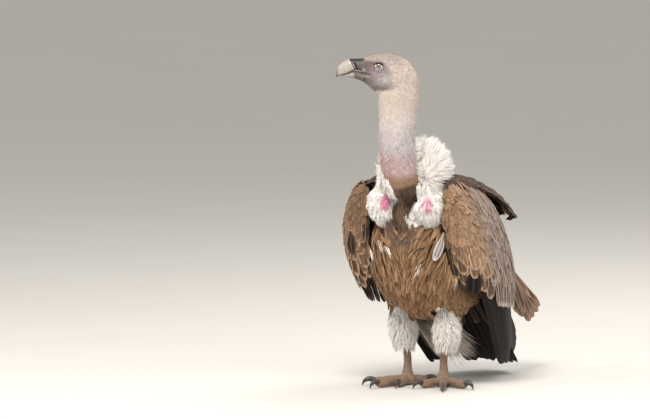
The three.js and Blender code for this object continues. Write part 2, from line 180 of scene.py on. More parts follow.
# ---------------------------------------------------------------- meshes
def loft(rings, first, last):
    """Points and triangles of a closed tube over rings of points, with a pole at each end."""
    count, sides = rings.shape[:2]
    points = np.concatenate([[first], rings.reshape(-1, 3), [last]])
    k = np.arange(sides)
    nxt = (k + 1) % sides
    base = 1 + sides * np.arange(count - 1)[:, None]
    a, b = base + k, base + nxt
    c, d = a + sides, b + sides
    tube = np.stack([a, b, c, c, b, d], -1).reshape(-1, 3)
    end = 1 + (count - 1) * sides
    caps = [
        np.stack([0 * k, 1 + nxt, 1 + k], -1),
        np.stack([end + k, end + nxt, 0 * k + len(points) - 1], -1),
    ]
    return facing_out(points, np.concatenate([tube, *caps]))


def facing_out(points, faces):
    a, b, c = (points[faces[:, i]] for i in range(3))
    return points, faces if np.sum(a * np.cross(b, c)) > 0 else faces[:, ::-1]


def joined(parts):
    """Several meshes' points and triangles as one."""
    starts = np.cumsum([0] + [len(points) for points, _ in parts[:-1]])
    return (
        np.concatenate([points for points, _ in parts]),
        np.concatenate([faces + start for (_, faces), start in zip(parts, starts)]),
    )


def ring_points(centre, across, up, wide, high, sides, power=2.0):
    """Rings of points round each centre; a power over 2 makes them squarer."""
    angle = (np.arange(sides) + 0.5) / sides * 2 * math.pi
    c, s = np.cos(angle), np.sin(angle)
    x = np.sign(c) * np.abs(c) ** (2 / power) * np.asarray(wide)[:, None]
    y = np.sign(s) * np.abs(s) ** (2 / power) * np.asarray(high)[:, None]
    return centre[:, None] + x[..., None] * across[..., None, :] + y[..., None] * up[..., None, :]


def sliced(stations, place, across, poles, steps, sides, power=2.0, inset=0.0):
    """A body whose slices stand across one axis, made smaller by the inset.

    Each station is [along, top, bottom, half width]."""
    along, top, bottom, wide = through(stations, np.linspace(0, 1, steps)).T
    first, last = stations[0][0], stations[-1][0]
    middle = (first + last) / 2
    along = middle + (along - middle) * (1 - 2 * inset / abs(last - first))
    centre = place(along, (top + bottom) / 2)
    high = np.maximum((top - bottom) / 2 - inset, 1)
    wide = np.maximum(wide - inset, 1)
    n = len(along)
    rings = ring_points(centre, np.tile(across, (n, 1)), np.tile(UP, (n, 1)), wide, high, sides, power)
    ends = [place(np.array([p[0]]), np.array([p[1]]))[0] for p in poles]
    ends = [end + unit(rings[k].mean(0) - end) * inset for k, end in zip((0, -1), ends)]
    return loft(rings, *ends)


def limb(points, wide, high, steps, sides, side=(1.0, 0.0, 0.0)):
    """A tube along a curve, with a half width and a half height at each step."""
    t = np.linspace(0, 1, steps)
    centre = through(points, t)
    ahead = unit(np.gradient(centre, axis=0))
    up = unit(np.cross(ahead, np.asarray(side, float)))
    across = unit(np.cross(up, ahead))
    rings = ring_points(centre, across, up, through(wide, t), through(high, t), sides)
    return loft(rings, centre[0], centre[-1])


def ellipsoid(centre, radii, columns=32, rows=20):
    polar = ((np.arange(rows) + 0.5) / rows * math.pi)[:, None]
    flat = np.sin(polar)
    angle = np.arange(columns) / columns * 2 * math.pi
    rings = np.stack([flat * np.cos(angle), flat * np.sin(angle), np.tile(np.cos(polar), columns)], -1)
    scaled = [np.asarray(centre) + p * np.asarray(radii) for p in (rings, UP, -UP)]
    return loft(*scaled)


def mirrored(mesh):
    points, faces = mesh
    return points * [-1, 1, 1], faces[:, ::-1]


def make(name, points, faces, attributes=(), sharp_rim=None, patches=None):
    """An object from points in the bird's frame and triangles, with its values and colours at the points."""
    mesh = bpy.data.meshes.new(name)
    mesh.vertices.add(len(points))
    mesh.vertices.foreach_set("co", world(points).astype(np.float32).ravel())
    mesh.loops.add(faces.size)
    mesh.loops.foreach_set("vertex_index", faces.astype(np.int32).ravel())
    mesh.polygons.add(len(faces))
    mesh.polygons.foreach_set("loop_start", np.arange(0, faces.size, 3, dtype=np.int32))
    mesh.update(calc_edges=True)
    for key, values in dict(attributes).items():
        values = np.asarray(values, np.float32)
        if values.ndim == 1:
            mesh.attributes.new(key, "FLOAT", "POINT").data.foreach_set("value", values)
        else:
            rgba = np.concatenate([values, np.ones((len(values), 1), np.float32)], 1)
            mesh.attributes.new(key, "FLOAT_COLOR", "POINT").data.foreach_set("color", rgba.ravel())
    if sharp_rim is not None:
        edges = np.zeros(len(mesh.edges) * 2, np.int32)
        mesh.edges.foreach_get("vertices", edges)
        sharp = sharp_rim[edges.reshape(-1, 2)].all(1)
        mesh.attributes.new("sharp_edge", "BOOLEAN", "EDGE").data.foreach_set("value", sharp)
    if patches is not None:
        layer = mesh.uv_layers.new(name="OFBake")
        layer.data.foreach_set("uv", patches[faces].astype(np.float32).ravel())
    made = bpy.data.objects.new(name, mesh)
    bpy.context.scene.collection.objects.link(made)
    return made


def finished(piece, material, slot, *nodes):
    """Gives a piece its material, its ride and the nodes that it stands for. The slot is not used."""
    piece.data.materials.append(material)
    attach(piece, "root")
    if nodes:
        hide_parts(*nodes)
    return piece


def triangles_of(mesh):
    """A Blender mesh's points in the bird's frame and its triangles."""
    points = np.zeros(len(mesh.vertices) * 3)
    mesh.vertices.foreach_get("co", points)
    mesh.calc_loop_triangles()
    faces = np.zeros(len(mesh.loop_triangles) * 3, np.int32)
    mesh.loop_triangles.foreach_get("vertices", faces)
    return bird(points.reshape(-1, 3)), faces.reshape(-1, 3)


def remeshed(parts, voxel, rounds):
    """The union of closed meshes as one even, smoothed mesh."""
    piece = make("remesh_source", *joined(parts))
    remesh = piece.modifiers.new("union", "REMESH")
    remesh.mode = "VOXEL"
    remesh.voxel_size = voxel * MM
    soften = piece.modifiers.new("soften", "SMOOTH")
    soften.factor = 0.5
    soften.iterations = rounds
    bpy.context.view_layer.update()
    done = bpy.data.meshes.new_from_object(piece.evaluated_get(bpy.context.evaluated_depsgraph_get()))
    points, faces = triangles_of(done)
    bpy.data.objects.remove(piece)
    bpy.data.meshes.remove(done)
    return points, faces


def corner_normals(points, faces):
    a, b, c = (points[faces[:, i]] for i in range(3))
    face = np.cross(b - a, c - a)
    total = np.zeros_like(points)
    for i in range(3):
        np.add.at(total, faces[:, i], face)
    return unit(total)


class Surface:
    """A closed mesh that points are found on."""

    def __init__(self, points, faces):
        self.points, self.faces = points, faces
        self.normals = corner_normals(points, faces)
        self.tree = BVHTree.FromPolygons(points.tolist(), faces.tolist())

    def nearest(self, wanted):
        """The nearest point on the surface to each wanted one, and the smooth normal there."""
        found = [self.tree.find_nearest(p) for p in wanted.reshape(-1, 3).tolist()]
        places = np.array([f[0] for f in found])
        normals = unit(self.normals[self.faces[[f[2] for f in found]]].mean(1))
        return places.reshape(wanted.shape), normals.reshape(wanted.shape)

    def hit(self, start, ahead, reach):
        """Whether something is met from each start point, going ahead for that far."""
        casts = zip(start.tolist(), ahead.tolist())
        return np.array([self.tree.ray_cast(Vector(s), Vector(d), reach)[0] is not None for s, d in casts])


# ---------------------------------------------------------------- materials
class Graph:
    """A material, with short names for the nodes that the materials share."""

    def __init__(self, name, roughness, **sockets):
        self.material = bpy.data.materials.new(name)
        self.material.use_nodes = True
        self.tree = self.material.node_tree
        self.shader = self.tree.nodes["Principled BSDF"]
        self.shader.inputs["Roughness"].default_value = roughness
        for key, value in sockets.items():
            self.shader.inputs[key.replace("_", " ")].default_value = value

    def node(self, kind, **settings):
        made = self.tree.nodes.new(kind)
        for key, value in settings.items():
            setattr(made, key, value)
        return made

    def link(self, source, target):
        self.tree.links.new(source, target)

    def attribute(self, name, output="Fac"):
        return self.node("ShaderNodeAttribute", attribute_name=name).outputs[output]

    def math(self, operation, *values):
        made = self.node("ShaderNodeMath", operation=operation)
        for socket, value in zip(made.inputs, values):
            if isinstance(value, (int, float)):
                socket.default_value = value
            else:
                self.link(value, socket)
        return made.outputs[0]

    def step(self, value, low, high, to_low=0.0, to_high=1.0):
        made = self.node("ShaderNodeMapRange", interpolation_type="SMOOTHSTEP")
        self.link(value, made.inputs["Value"])
        for key, number in zip(("From Min", "From Max", "To Min", "To Max"), (low, high, to_low, to_high)):
            made.inputs[key].default_value = number
        return made.outputs["Result"]

    def noise(self, scale, detail=3.0, stretch=None):
        made = self.node("ShaderNodeTexNoise")
        made.inputs["Scale"].default_value = scale
        made.inputs["Detail"].default_value = detail
        place = self.node("ShaderNodeTexCoord").outputs["Object"]
        if stretch:
            mapping = self.node("ShaderNodeMapping")
            mapping.inputs["Scale"].default_value = stretch
            self.link(place, mapping.inputs["Vector"])
            place = mapping.outputs["Vector"]
        self.link(place, made.inputs["Vector"])
        return made.outputs["Fac"]

    def mix(self, factor, a, b, blend="MIX"):
        made = self.node("ShaderNodeMix", data_type="RGBA", blend_type=blend)
        for socket, value in zip((made.inputs[0], made.inputs[6], made.inputs[7]), (factor, a, b)):
            if isinstance(value, (int, float)):
                socket.default_value = value
            elif isinstance(value, np.ndarray):
                socket.default_value = (*value, 1.0)
            else:
                self.link(value, socket)
        return made.outputs[2]

    def times(self, paint, tint):
        return self.mix(1.0, paint, tint, "MULTIPLY")

    def paint(self, result):
        self.link(result, self.shader.inputs["Base Color"])

    def bump(self, height, strength, distance):
        made = self.node("ShaderNodeBump")
        made.inputs["Strength"].default_value = strength
        made.inputs["Distance"].default_value = distance
        self.link(height, made.inputs["Height"])
        self.link(made.outputs["Normal"], self.shader.inputs["Normal"])


def skin_material():
    """Bare skin: mottled, with painted shade in its creases, and with scutes on the feet."""
    g = Graph("skin", 0.62, Specular_IOR_Level=0.35)
    fine, coarse = g.noise(900.0, 4.0), g.noise(160.0, 3.0)
    paint = g.attribute("paint", "Color")
    shaded = g.mix(g.step(coarse, 0.3, 0.7, 0.0, 0.32), paint, g.times(paint, colour(170, 150, 150)))
    # painted shade: the skin is darkened where its folds are
    crease_shade = g.math("MULTIPLY", g.attribute("crease_shade"), 0.8)
    g.paint(g.mix(crease_shade, shaded, g.times(shaded, colour(80, 66, 62))))
    scale = g.node("ShaderNodeTexVoronoi", feature="DISTANCE_TO_EDGE")
    scale.inputs["Scale"].default_value = 420.0
    g.link(g.node("ShaderNodeTexCoord").outputs["Object"], scale.inputs["Vector"])
    scutes = g.math("MULTIPLY", g.step(scale.outputs["Distance"], 0.0, 0.12), g.attribute("scaly"))
    pores = g.math("ADD", g.math("MULTIPLY", fine, 0.35), coarse)
    height = g.math("ADD", pores, g.math("MULTIPLY", scutes, 0.9))
    g.bump(height, 0.55, 0.0012)
    return g.material


def hard_material(name, roughness, spots=0.4, grain=(1, 1, 1)):
    """Horn, cere and claws: their own colour with streaks and fine scratches."""
    g = Graph(name, roughness)
    paint = g.attribute("paint", "Color")
    streaks, fine = g.noise(240.0, 5.0, grain), g.noise(1500.0, 3.0, grain)
    worn = g.times(paint, colour(176, 156, 136))
    g.paint(g.mix(g.step(streaks, 0.42, 0.68, 0.0, spots), paint, worn))
    g.bump(g.math("ADD", g.math("MULTIPLY", streaks, 0.5), g.math("MULTIPLY", fine, 0.2)), 0.35, 0.0006)
    polish = g.step(fine, 0.3, 0.7, roughness - 0.08, roughness + 0.12)
    dull = g.math("ADD", polish, g.math("MULTIPLY", g.attribute("soft"), 0.3))
    g.link(dull, g.shader.inputs["Roughness"])
    return g.material


PUPIL_EDGE = (12.5, 14.5)  # degrees from the eye's axis, where each ring turns into the next
IRIS_SHADE = (19.0, 28.0)
IRIS_EDGE = (27.5, 29.5)
RIM_EDGE = (33.0, 36.0)


def eye_material():
    """Pupil, amber iris, its dark rim and the pale white of the eye, by the angle from the eye's axis."""
    g = Graph("eye", 0.04, Coat_Weight=1.0)
    angle = g.attribute("off_axis")
    rays = g.noise(2600.0, 4.0)
    iris = g.mix(g.step(rays, 0.35, 0.65), colour(152, 98, 62), colour(196, 146, 104))
    iris = g.mix(g.step(angle, *IRIS_SHADE), iris, colour(118, 72, 48))
    seen = g.mix(g.step(angle, *PUPIL_EDGE), colour(6, 5, 6), iris)
    rim = g.mix(g.step(angle, *IRIS_EDGE), seen, colour(18, 12, 12))
    g.paint(g.mix(g.step(angle, *RIM_EDGE), rim, colour(196, 200, 212)))
    return g.material


def feather_material(name, roughness=0.72):
    """A vane: its own colour in streaks, a paler rim, a shaft, and barbs that slant from it."""
    g = Graph(name, roughness, Specular_IOR_Level=0.14, Sheen_Weight=0.04, Sheen_Roughness=0.4)
    across, along, tone = (g.attribute(k) for k in ("across", "along", "tone"))
    paint, fringe = g.attribute("paint", "Color"), g.attribute("fringe", "Color")
    streak_place = g.node("ShaderNodeCombineXYZ")
    for socket, value, scale in zip(streak_place.inputs, (across, along, tone), (2.6, 1.1, 90.0)):
        g.link(g.math("MULTIPLY", value, scale), socket)
    streaks = g.node("ShaderNodeTexNoise")
    streaks.inputs["Scale"].default_value = 1.6
    streaks.inputs["Detail"].default_value = 3.0
    g.link(streak_place.outputs[0], streaks.inputs["Vector"])
    streak = streaks.outputs["Fac"]
    out = g.math("ABSOLUTE", across)
    wobble = g.math("MULTIPLY", g.math("SUBTRACT", streak, 0.5), 0.6)
    side_rim = g.step(g.math("ADD", out, wobble), 0.5, 0.98)
    end_rim = g.step(g.math("ADD", along, g.math("MULTIPLY", wobble, 0.25)), 0.8, 0.97)
    rim = g.math("MULTIPLY", g.math("MAXIMUM", side_rim, end_rim), g.attribute("rim"))
    slant = g.math("SUBTRACT", g.attribute("length"), g.attribute("slant"))
    barbs = g.math("SINE", g.math("MULTIPLY", slant, 4.6))
    lines = g.step(barbs, -1.0, 1.0)
    tinted = g.mix(g.step(streak, 0.34, 0.66, 0.0, 0.62), paint, g.times(paint, colour(128, 116, 108)))
    tinted = g.mix(g.math("MULTIPLY", tone, 0.4), tinted, g.times(tinted, colour(165, 152, 142)))
    tinted = g.mix(rim, tinted, fringe)
    shaft = g.math("MULTIPLY", g.step(out, 0.05, 0.26, 1.0, 0.0), g.attribute("shaft"))
    tinted = g.mix(shaft, tinted, fringe)
    g.paint(g.mix(g.math("MULTIPLY", lines, 0.12), tinted, g.times(tinted, colour(120, 112, 108))))
    g.bump(g.math("ADD", g.math("MULTIPLY", lines, 0.5), shaft), 0.5, 0.0007)
    return g.material


def down_material(name):
    """Fine down: its own colour, a little different from wisp to wisp, with soft streaks."""
    g = Graph(name, 0.85, Specular_IOR_Level=0.15, Sheen_Weight=0.25, Sheen_Roughness=0.5)
    paint = g.attribute("paint", "Color")
    tone = g.attribute("tone")
    streak = g.noise(900.0, 3.0)
    shade = g.math("ADD", g.math("MULTIPLY", tone, 0.10), g.step(streak, 0.3, 0.7, 0.0, 0.06))
    g.paint(g.mix(shade, paint, g.times(paint, colour(190, 176, 166))))
    g.bump(streak, 0.3, 0.0006)
    return g.material


# ---------------------------------------------------------------- the flesh's own shapes
BODY_COAT = 9.0  # how deep the skin lies under the coat on the trunk and the folded arms
HEAD_COAT = 1.6
PATCH_COAT = 7.0
CROP_COAT = 5.0

TRUNK = [  # y, top, bottom, half width
    [-108, 378, 296, 40],
    [-100, 412, 246, 74],
    [-78, 432, 196, 100],
    [-36, 446, 160, 116],
    [20, 450, 146, 124],
    [80, 445, 150, 124],
    [140, 426, 162, 114],
    [190, 404, 174, 96],
    [235, 372, 186, 74],
    [275, 334, 198, 50],
    [305, 298, 210, 28],
]
HEAD = [  # forward of the eyes, top, bottom, half width
    [-87, 690, 656, 14],
    [-79, 707, 645, 26],
    [-63, 726, 640, 33.5],
    [-44, 736.5, 640, 36.5],
    [-24, 741.5, 640, 36.5],
    [-4, 741, 645, 33],
    [12, 738, 657, 27.5],
    [27, 733.5, 670, 21],
    [38, 728.5, 677, 16.5],
]
NECK_CENTRES = [
    [2, -84, 418],
    [2, -104, 436],
    [-4, -108, 466],
    [-11, -111, 505],
    [-14, -112, 550],
    [-12, -112, 596],
    [-10, -111, 640],
    [-10, -110, 672],
    [-15, -113, 700],
]
NECK_FORE_AFT = [24, 40, 43, 41.5, 39, 41, 45.5, 43, 28]
NECK_SIDEWAYS = [24, 38, 42, 40, 38, 38, 38, 36.5, 29]
NECK_BASE = np.array([2.0, -84.0])
PATCH = {"centre": (56, -88, 408), "radii": (40, 38, 46)}
PINK_SPOTS = {  # on the left and the right shoulder: its middle, its half width and half height
    1: ((64, -124, 413), (11, 18)),
    -1: ((-39, -120, 416), (9.5, 18)),
}
CROP = {"centre": (0, -88, 388), "radii": (34, 38, 52)}
FOOT_SPREAD = 44.4  # from the middle to each foot
SOCK_LOW = 84  # the lower end of the white down of the legs
STANCE = (-3.5, 10.0)  # the middle between the feet, x and y
HEELS = {"left": 50, "right": 56}  # how far out each heel is
TOE_ANGLES = {  # degrees outwards from straight ahead
    "left": {"inner": -20, "middle": 25, "outer": 65, "hind": -155},
    "right": {"inner": -10, "middle": 13, "outer": 48, "hind": -135},
}
TOE_LENGTHS = {"inner": 68, "middle": 104, "outer": 78, "hind": 46}
CLAW_LENGTH = 30
SCUTE = 4.2  # between two scutes along a toe


def on_trunk(y, z):
    return np.stack([0 * y, y, z], -1)


def trunk_flesh(inset):
    return sliced(TRUNK, on_trunk, [1.0, 0, 0], [[-111, 338], [318, 256]], 60, 64, 2.15, inset)


def head_flesh():
    return sliced(HEAD, on_head_middle, HEAD_LEFT, [[-90, 672], [39.5, 703]], 80, 72, 2.0, HEAD_COAT)


def neck_flesh():
    t = np.linspace(0, 1, 120)
    centre = through(NECK_CENTRES, t)
    n = len(t)
    wide, fore = through(NECK_SIDEWAYS, t) - HEAD_COAT, through(NECK_FORE_AFT, t) - HEAD_COAT
    rings = ring_points(centre, np.tile(HEAD_LEFT, (n, 1)), np.tile(FORWARD, (n, 1)), wide, fore, 72)
    return loft(rings, centre[0], centre[-1])


def scuted(limb_made, start, period, amount):
    """The tube's skin stepped in scutes along its length."""
    points, faces = limb_made
    away = np.linalg.norm((points - start), axis=1)
    centre = points.mean(0)
    step = np.abs(np.sin(math.pi * away / period)) ** 0.6 - 0.5
    out = unit(points - centre) * [0.4, 0.4, 1.0]
    return points + out * (amount * step)[:, None], faces


def foot_of(side):
    return np.array([STANCE[0] + SIDES[side] * FOOT_SPREAD, STANCE[1], 0.0])


def toe_line(side, finger):
    """The toe's start on the floor, the way that it points, and its side."""
    angle = math.radians(SIDES[side] * TOE_ANGLES[side][finger])
    out = np.array([math.sin(angle), -math.cos(angle), 0.0])
    return foot_of(side), out, np.array([-out[1], out[0], 0.0])


def toe_flesh(side, finger):
    start, out, across = toe_line(side, finger)
    length = TOE_LENGTHS[finger]
    at = lambda d, z: start + out * d + UP * z
    places = [at(4, 11), at(length * 0.35, 12), at(length * 0.7, 10.5), at(length, 10)]
    wide = [9.2, 8, 9, 7.2, 8.4, 7, 4.8]
    high = [9.8, 10.6, 9.2, 9.8, 8.8, 9.2, 6.2]
    return scuted(limb(places, wide, high, 70, 28, across), start, SCUTE, 0.7)


def leg_flesh(side):
    """Shin under the down, tarsus, the ball of the foot, and the four toes."""
    sign, heel = SIDES[side], SIDES[side] * HEELS[side]
    foot = foot_of(side)
    shin = limb(
        [[heel + sign * 4, 5, 190], [heel + sign * 2, 5, 158], [heel, 6, 122], [heel - sign * 2, 7, 92]],
        [14, 18, 19, 10.5],
        [15, 19, 20, 11],
        40,
        32,
    )
    tarsus = limb(
        [[heel - sign * 3, 8, 106], foot + [0, 0, 62], foot + [0, 0, 36], foot + [0, 0, 15]],
        [9.4, 8.4, 9.6, 16],
        [10, 9.2, 10.6, 16],
        60,
        32,
    )
    ball = ellipsoid(foot + [0, 0, 11.5], (19.5, 20.5, 14))
    toes = [toe_flesh(side, finger) for finger in TOE_LENGTHS]
    return [shin, scuted(tarsus, foot, SCUTE * 1.2, 0.5), ball, *toes]


def thigh_flesh(side):
    sign, heel = SIDES[side], SIDES[side] * HEELS[side]
    places = [[sign * 70, 34, 252], [sign * 68, 30, 222], [sign * 62, 18, 190], [heel + sign * 3, 5, 158]]
    return limb(places, [22, 28, 28, 19], [40, 47, 38, 20], 30, 36)


class Fan:
    """A folded wing's or the tail's sheet of feathers: s runs from the roots to the tips, t across it."""

    def __init__(self, columns, out):
        self.columns, self.out = np.array(columns, float), np.array(out, float)

    def point(self, s, t):
        s, t = np.broadcast_arrays(np.asarray(s, float), np.asarray(t, float))
        root, middle, tip = (through(self.columns[:, i], t) for i in range(3))
        bend = 2 * middle - 0.5 * root - 0.5 * tip
        s = s[..., None]
        return root * (1 - s) ** 2 + bend * 2 * s * (1 - s) + tip * s * s

    def outward(self, s, t):
        step = 0.01
        s0 = np.clip(s, 0, 1)
        t0 = np.clip(t, 0, 1 - step)
        along = self.point(s0 + step, t) - self.point(s0, t)
        over = self.point(s0, t0 + step) - self.point(s0, t0)
        normal = unit(np.cross(along, over))
        return normal * np.sign(normal @ self.out)[..., None]

    def length(self, t):
        return np.linalg.norm(self.point(1, t) - self.point(0, t), axis=-1)


COVERTS = Fan(
    [
        [[92, -96, 430], [95, -92, 336], [103, -42, 238]],
        [[122, -104, 440], [154, -86, 326], [136, -10, 196]],
        [[130, -24, 436], [170, -10, 310], [156, 50, 178]],
        [[122, 68, 414], [162, 92, 290], [149, 126, 168]],
        [[104, 146, 372], [124, 178, 268], [108, 206, 166]],
    ],
    (0.7, -0.7, 0.1),
)
SECONDARIES = Fan(
    [
        [[134, 14, 232], [114, 112, 134], [86, 212, 30]],
        [[142, 60, 232], [118, 150, 132], [82, 240, 30]],
        [[136, 110, 236], [112, 186, 142], [76, 262, 38]],
        [[112, 166, 250], [92, 232, 158], [66, 296, 60]],
    ],
    (1, 0.2, 0.3),
)
PRIMARIES = Fan(
    [
        [[104, 60, 190], [80, 228, 98], [14, 408, 30]],
        [[104, 96, 214], [74, 246, 128], [30, 392, 50]],
        [[94, 140, 240], [66, 264, 160], [42, 364, 78]],
    ],
    (1, 0.2, 0.4),
)
TERTIALS = Fan(
    [
        [[120, 116, 318], [116, 186, 222], [100, 274, 148]],
        [[116, 136, 330], [110, 222, 216], [88, 348, 120]],
        [[104, 160, 340], [96, 252, 222], [82, 402, 136]],
        [[84, 180, 350], [82, 266, 240], [78, 406, 160]],
        [[50, 200, 372], [56, 284, 262], [44, 398, 184]],
    ],
    (0.4, 0.3, 1),
)
SCAPULARS = Fan(
    [
        [[114, -62, 450], [122, 60, 434], [110, 196, 378]],
        [[84, -72, 460], [96, 76, 446], [88, 264, 356]],
        [[40, -70, 464], [46, 84, 453], [36, 268, 372]],
    ],
    (0.2, 0, 1),
)
TAIL = Fan(
    [
        [[-34, 184, 196], [-52, 264, 104], [-60, 340, 22]],
        [[-16, 180, 204], [-26, 276, 112], [-30, 372, 17]],
        [[0, 178, 206], [0, 280, 114], [0, 384, 15]],
        [[16, 180, 204], [26, 276, 112], [30, 372, 17]],
        [[34, 184, 196], [52, 264, 104], [60, 340, 22]],
    ],
    (0, 0.4, 1),
)


def wing_flesh():
    """The folded arm under the coverts, thick above and thinner below."""
    s, t = np.meshgrid(np.linspace(0.02, 0.66, 24), np.linspace(0.03, 0.97, 40), indexing="ij")
    skin, out = COVERTS.point(s, t), COVERTS.outward(s, t)
    outer = skin - out * BODY_COAT
    inner = skin - out * (BODY_COAT + 6 + 30 * (1 - s[..., None]))
    rings = np.concatenate([outer, inner[:, ::-1]], 1)
    return loft(rings, rings[0].mean(0), rings[-1].mean(0))


# the core's radius, half turn, heights behind and at its ends, and its share of the ruff
RUFF = {"radius": 51.6, "sweep": 120, "back": 486, "ends": 442, "core": 0.78}
RUFF_WIDE = [12, 24, 38, 43, 40, 24, 12]
RUFF_HIGH = [20, 36, 54, 60, 58, 40, 22]


def ruff_core():
    """What carries the ruff: a low collar round the back of the neck's base."""
    t = np.linspace(0, 1, 60)
    angle = np.radians((2 * t - 1) * RUFF["sweep"])
    out = np.stack([np.sin(angle), np.cos(angle), 0 * angle], -1)
    height = RUFF["ends"] + (RUFF["back"] - RUFF["ends"]) * (1 - (2 * t - 1) ** 2)
    middle = np.stack([NECK_BASE[0] + 0 * t, NECK_BASE[1] + 0 * t, height], -1)
    centre = middle + out * RUFF["radius"]
    core = RUFF["core"] * (1 - 0.5 * np.abs(2 * t - 1) ** 3)
    wide, high = through(RUFF_WIDE, t) * core, through(RUFF_HIGH, t) * core
    return loft(ring_points(centre, out, np.tile(UP, (len(t), 1)), wide, high, 28), centre[0], centre[-1])


# ---------------------------------------------------------------- skin: shapes and markings
def eye_distance(f, z):
    return np.hypot(f, z - EYE_CENTRE[2])


def mouth_height(f):
    return 693.7 + 0.28 * (f - 18.7)


def jaw_height(f):
    """The lower edge of the bare cheek: it rises behind, and runs out at the jaw's profile in front."""
    return 661.3 + 8.7 * (np.minimum(f + 14, 0) / 28) ** 2 - 1.2 * np.maximum(f - 4, 0)


def spot(f, z, at, radii):
    return np.exp(-(((f - at[0]) / radii[0]) ** 2) - ((z - at[1]) / radii[1]) ** 2)


def head_relief(points):
    """How far the head's skin stands out, and how much painted shade its folds get, at each point."""
    f, left, z = head_frame(points)
    on_side = smooth(5, 12, np.abs(left))
    near = smooth(640, 655, z)
    eye = eye_distance(f, z)
    mouth = bump_at(z, mouth_height(f), 1.7) * smooth(16, 20, f) * on_side
    jaw = bump_at(z, jaw_height(f), 3.4) * smooth(-52, -40, f) * (1 - smooth(20, 30, f)) * on_side
    brow = bump_at(z, 723.5 + 0.06 * f, 3.4) * smooth(-17, -7, f) * (1 - smooth(14, 25, f)) * on_side
    under_brow = bump_at(z, 719.5 + 0.06 * f, 2.0) * smooth(-12, -5, f) * (1 - smooth(14, 22, f)) * on_side
    lores = np.sin(0.9 * f + 0.5 * (z - 700)) * spot(f, z, (28, 711), (9, 9)) * on_side
    cheek_lines = np.sin(0.75 * (z - 690) + 0.35 * f) * spot(f, z, (4, 690), (16, 7)) * on_side
    height = (
        2.3 * brow
        - 1.6 * mouth
        + 1.1 * bump_at(z, mouth_height(f) + 4, 2.2) * smooth(12, 18, f) * on_side
        + 1.6 * spot(f, z, (14.5, 692), (2.6, 5)) * on_side
        - 0.8 * jaw
        + 1.5 * spot(f, z, (-12, 678), (22, 10)) * on_side
        - 1.3 * spot(f, z, (25, 711), (8, 6)) * on_side
        - 1.5 * spot(f, z, (-31, 699), (5, 6)) * on_side
        - 1.4 * bump_at(eye, 14.5, 3.0) * on_side
        + 0.55 * lores
        + 0.5 * cheek_lines
    ) * near
    socket = -10 * (1 - smooth(7.6, 9.8, eye)) * smooth(8, 14, np.abs(left))
    # painted shade in the skin's folds: along the gape and the jaw, under the brow and in the lores' wrinkles
    fold_shade = 0.6 * mouth + 0.22 * jaw * smooth(-40, -10, f) + 0.8 * under_brow + 0.35 * np.abs(lores)
    crease_shade = np.clip(fold_shade + 0.25 * np.abs(cheek_lines), 0, 1) * near
    return height + socket, crease_shade


def head_markings(points):
    """The colours of the head's and the neck's skin."""
    f, left, z = head_frame(points)
    bare = 1 - smooth(-6, 4, z - (725 + 0.07 * f))
    bare = bare * smooth(-8, 8, f - (-14 + (z - 719) * 0.677)) * smooth(-4, 4, z - jaw_height(f))
    bare = bare * smooth(2, 7, np.abs(left) + 0 * z + 20 * smooth(36, 44, f) + 20 * (z < 700))
    face = mix(FACE_GREY, LORES, smooth(12, 32, f))
    for at, radii, strength, tint in (
        ((15, 707), (8, 9), 0.75, MAUVE),
        ((1, 698), (14, 6), 0.6, MAUVE),
        ((-23, 704), (4, 9), 0.6, MAUVE),
        ((-14, 684), (31, 17), 1.0, CHEEK),
        ((24, 691), (9, 2.6), 0.7, CHEEK),
        ((20, 681), (12, 5), 0.6, LORES),
        # the next spot is painted shade under the cheek's lower edge
        ((6, 668), (9, 4), 0.4, LORES),
        ((34, 705), (5, 6), 0.5, CHEEK),
        ((-38, 679), (17, 15), 0.8, CREAM),
    ):
        face = mix(face, tint, strength * spot(f, z, at, radii))
    top = mix(CREAM, CROWN, smooth(700, 728, z) * smooth(-75, -40, f))
    top = mix(top, colour(196, 148, 126), 0.7 * spot(f, z, (31, 731), (6, 6)))
    paint = mix(top, face, bare)
    front = smooth(-30, 25, f + 0.6 * left)
    paint = mix(paint, NECK_CREAM, (1 - smooth(560, 640, z)))
    paint = mix(paint, NECK_MAUVE, (1 - smooth(520, 620, z)) * (0.5 + 0.5 * front))
    paint = mix(paint, NECK_BLUE, 0.8 * bump_at(z, 528, 34) * (1 - smooth(-30, -5, f - 0.6 * left)))
    paint = mix(paint, NECK_PINK, (1 - smooth(500, 545, z)) * (0.6 + 0.4 * front))
    low = z - 0.009 * points[..., 0] ** 2
    paint = mix(paint, CROP_BUFF, (1 - smooth(456, 482, low)))
    return mix(paint, CROP_DARK, (1 - smooth(438, 452, low)))


def body_markings(points):
    """The colours of the skin under the body's coat: they show between the feathers and the down."""
    x, y, z = points.T
    paint = np.tile(BODY_SKIN, (len(points), 1))
    from_patch = np.stack([np.abs(x), y, z], -1) - PATCH["centre"]
    patch = np.linalg.norm(from_patch / PATCH["radii"], axis=1)
    paint = mix(paint, WHITE_DOWN, 1 - smooth(0.95, 1.2, patch))
    around = np.hypot(x - NECK_BASE[0], y - NECK_BASE[1])
    paint = mix(paint, RUFF_CREAM, smooth(425, 440, z) * (1 - smooth(95, 115, around)))
    paint = mix(paint, RUFF_CREAM, smooth(447, 455, z) * (1 - smooth(118, 128, around)))
    for middle, half_sizes in PINK_SPOTS.values():
        off = np.linalg.norm((points - middle)[:, [0, 2]] / half_sizes, axis=1)
        paint = mix(paint, PINK, (1 - smooth(0.9, 1.1, off)) * (y < -95))
    by_sock = (z < 184 - 0.03 * (np.abs(x) - 57) ** 2) & (z > 60) & (y < 30)
    under_crop = (np.abs(x) < 34) & (y < -80) & (z > 330) & (z < 425)
    return mix(mix(paint, WHITE_DOWN, by_sock), CROP_DARK, under_crop)


def leg_markings(points):
    bare = mix(TOE_SKIN, LEG_SKIN, smooth(18, 46, points[:, 2]))
    return mix(bare, RUFF_CREAM, smooth(SOCK_LOW + 4, SOCK_LOW + 12, points[:, 2]))


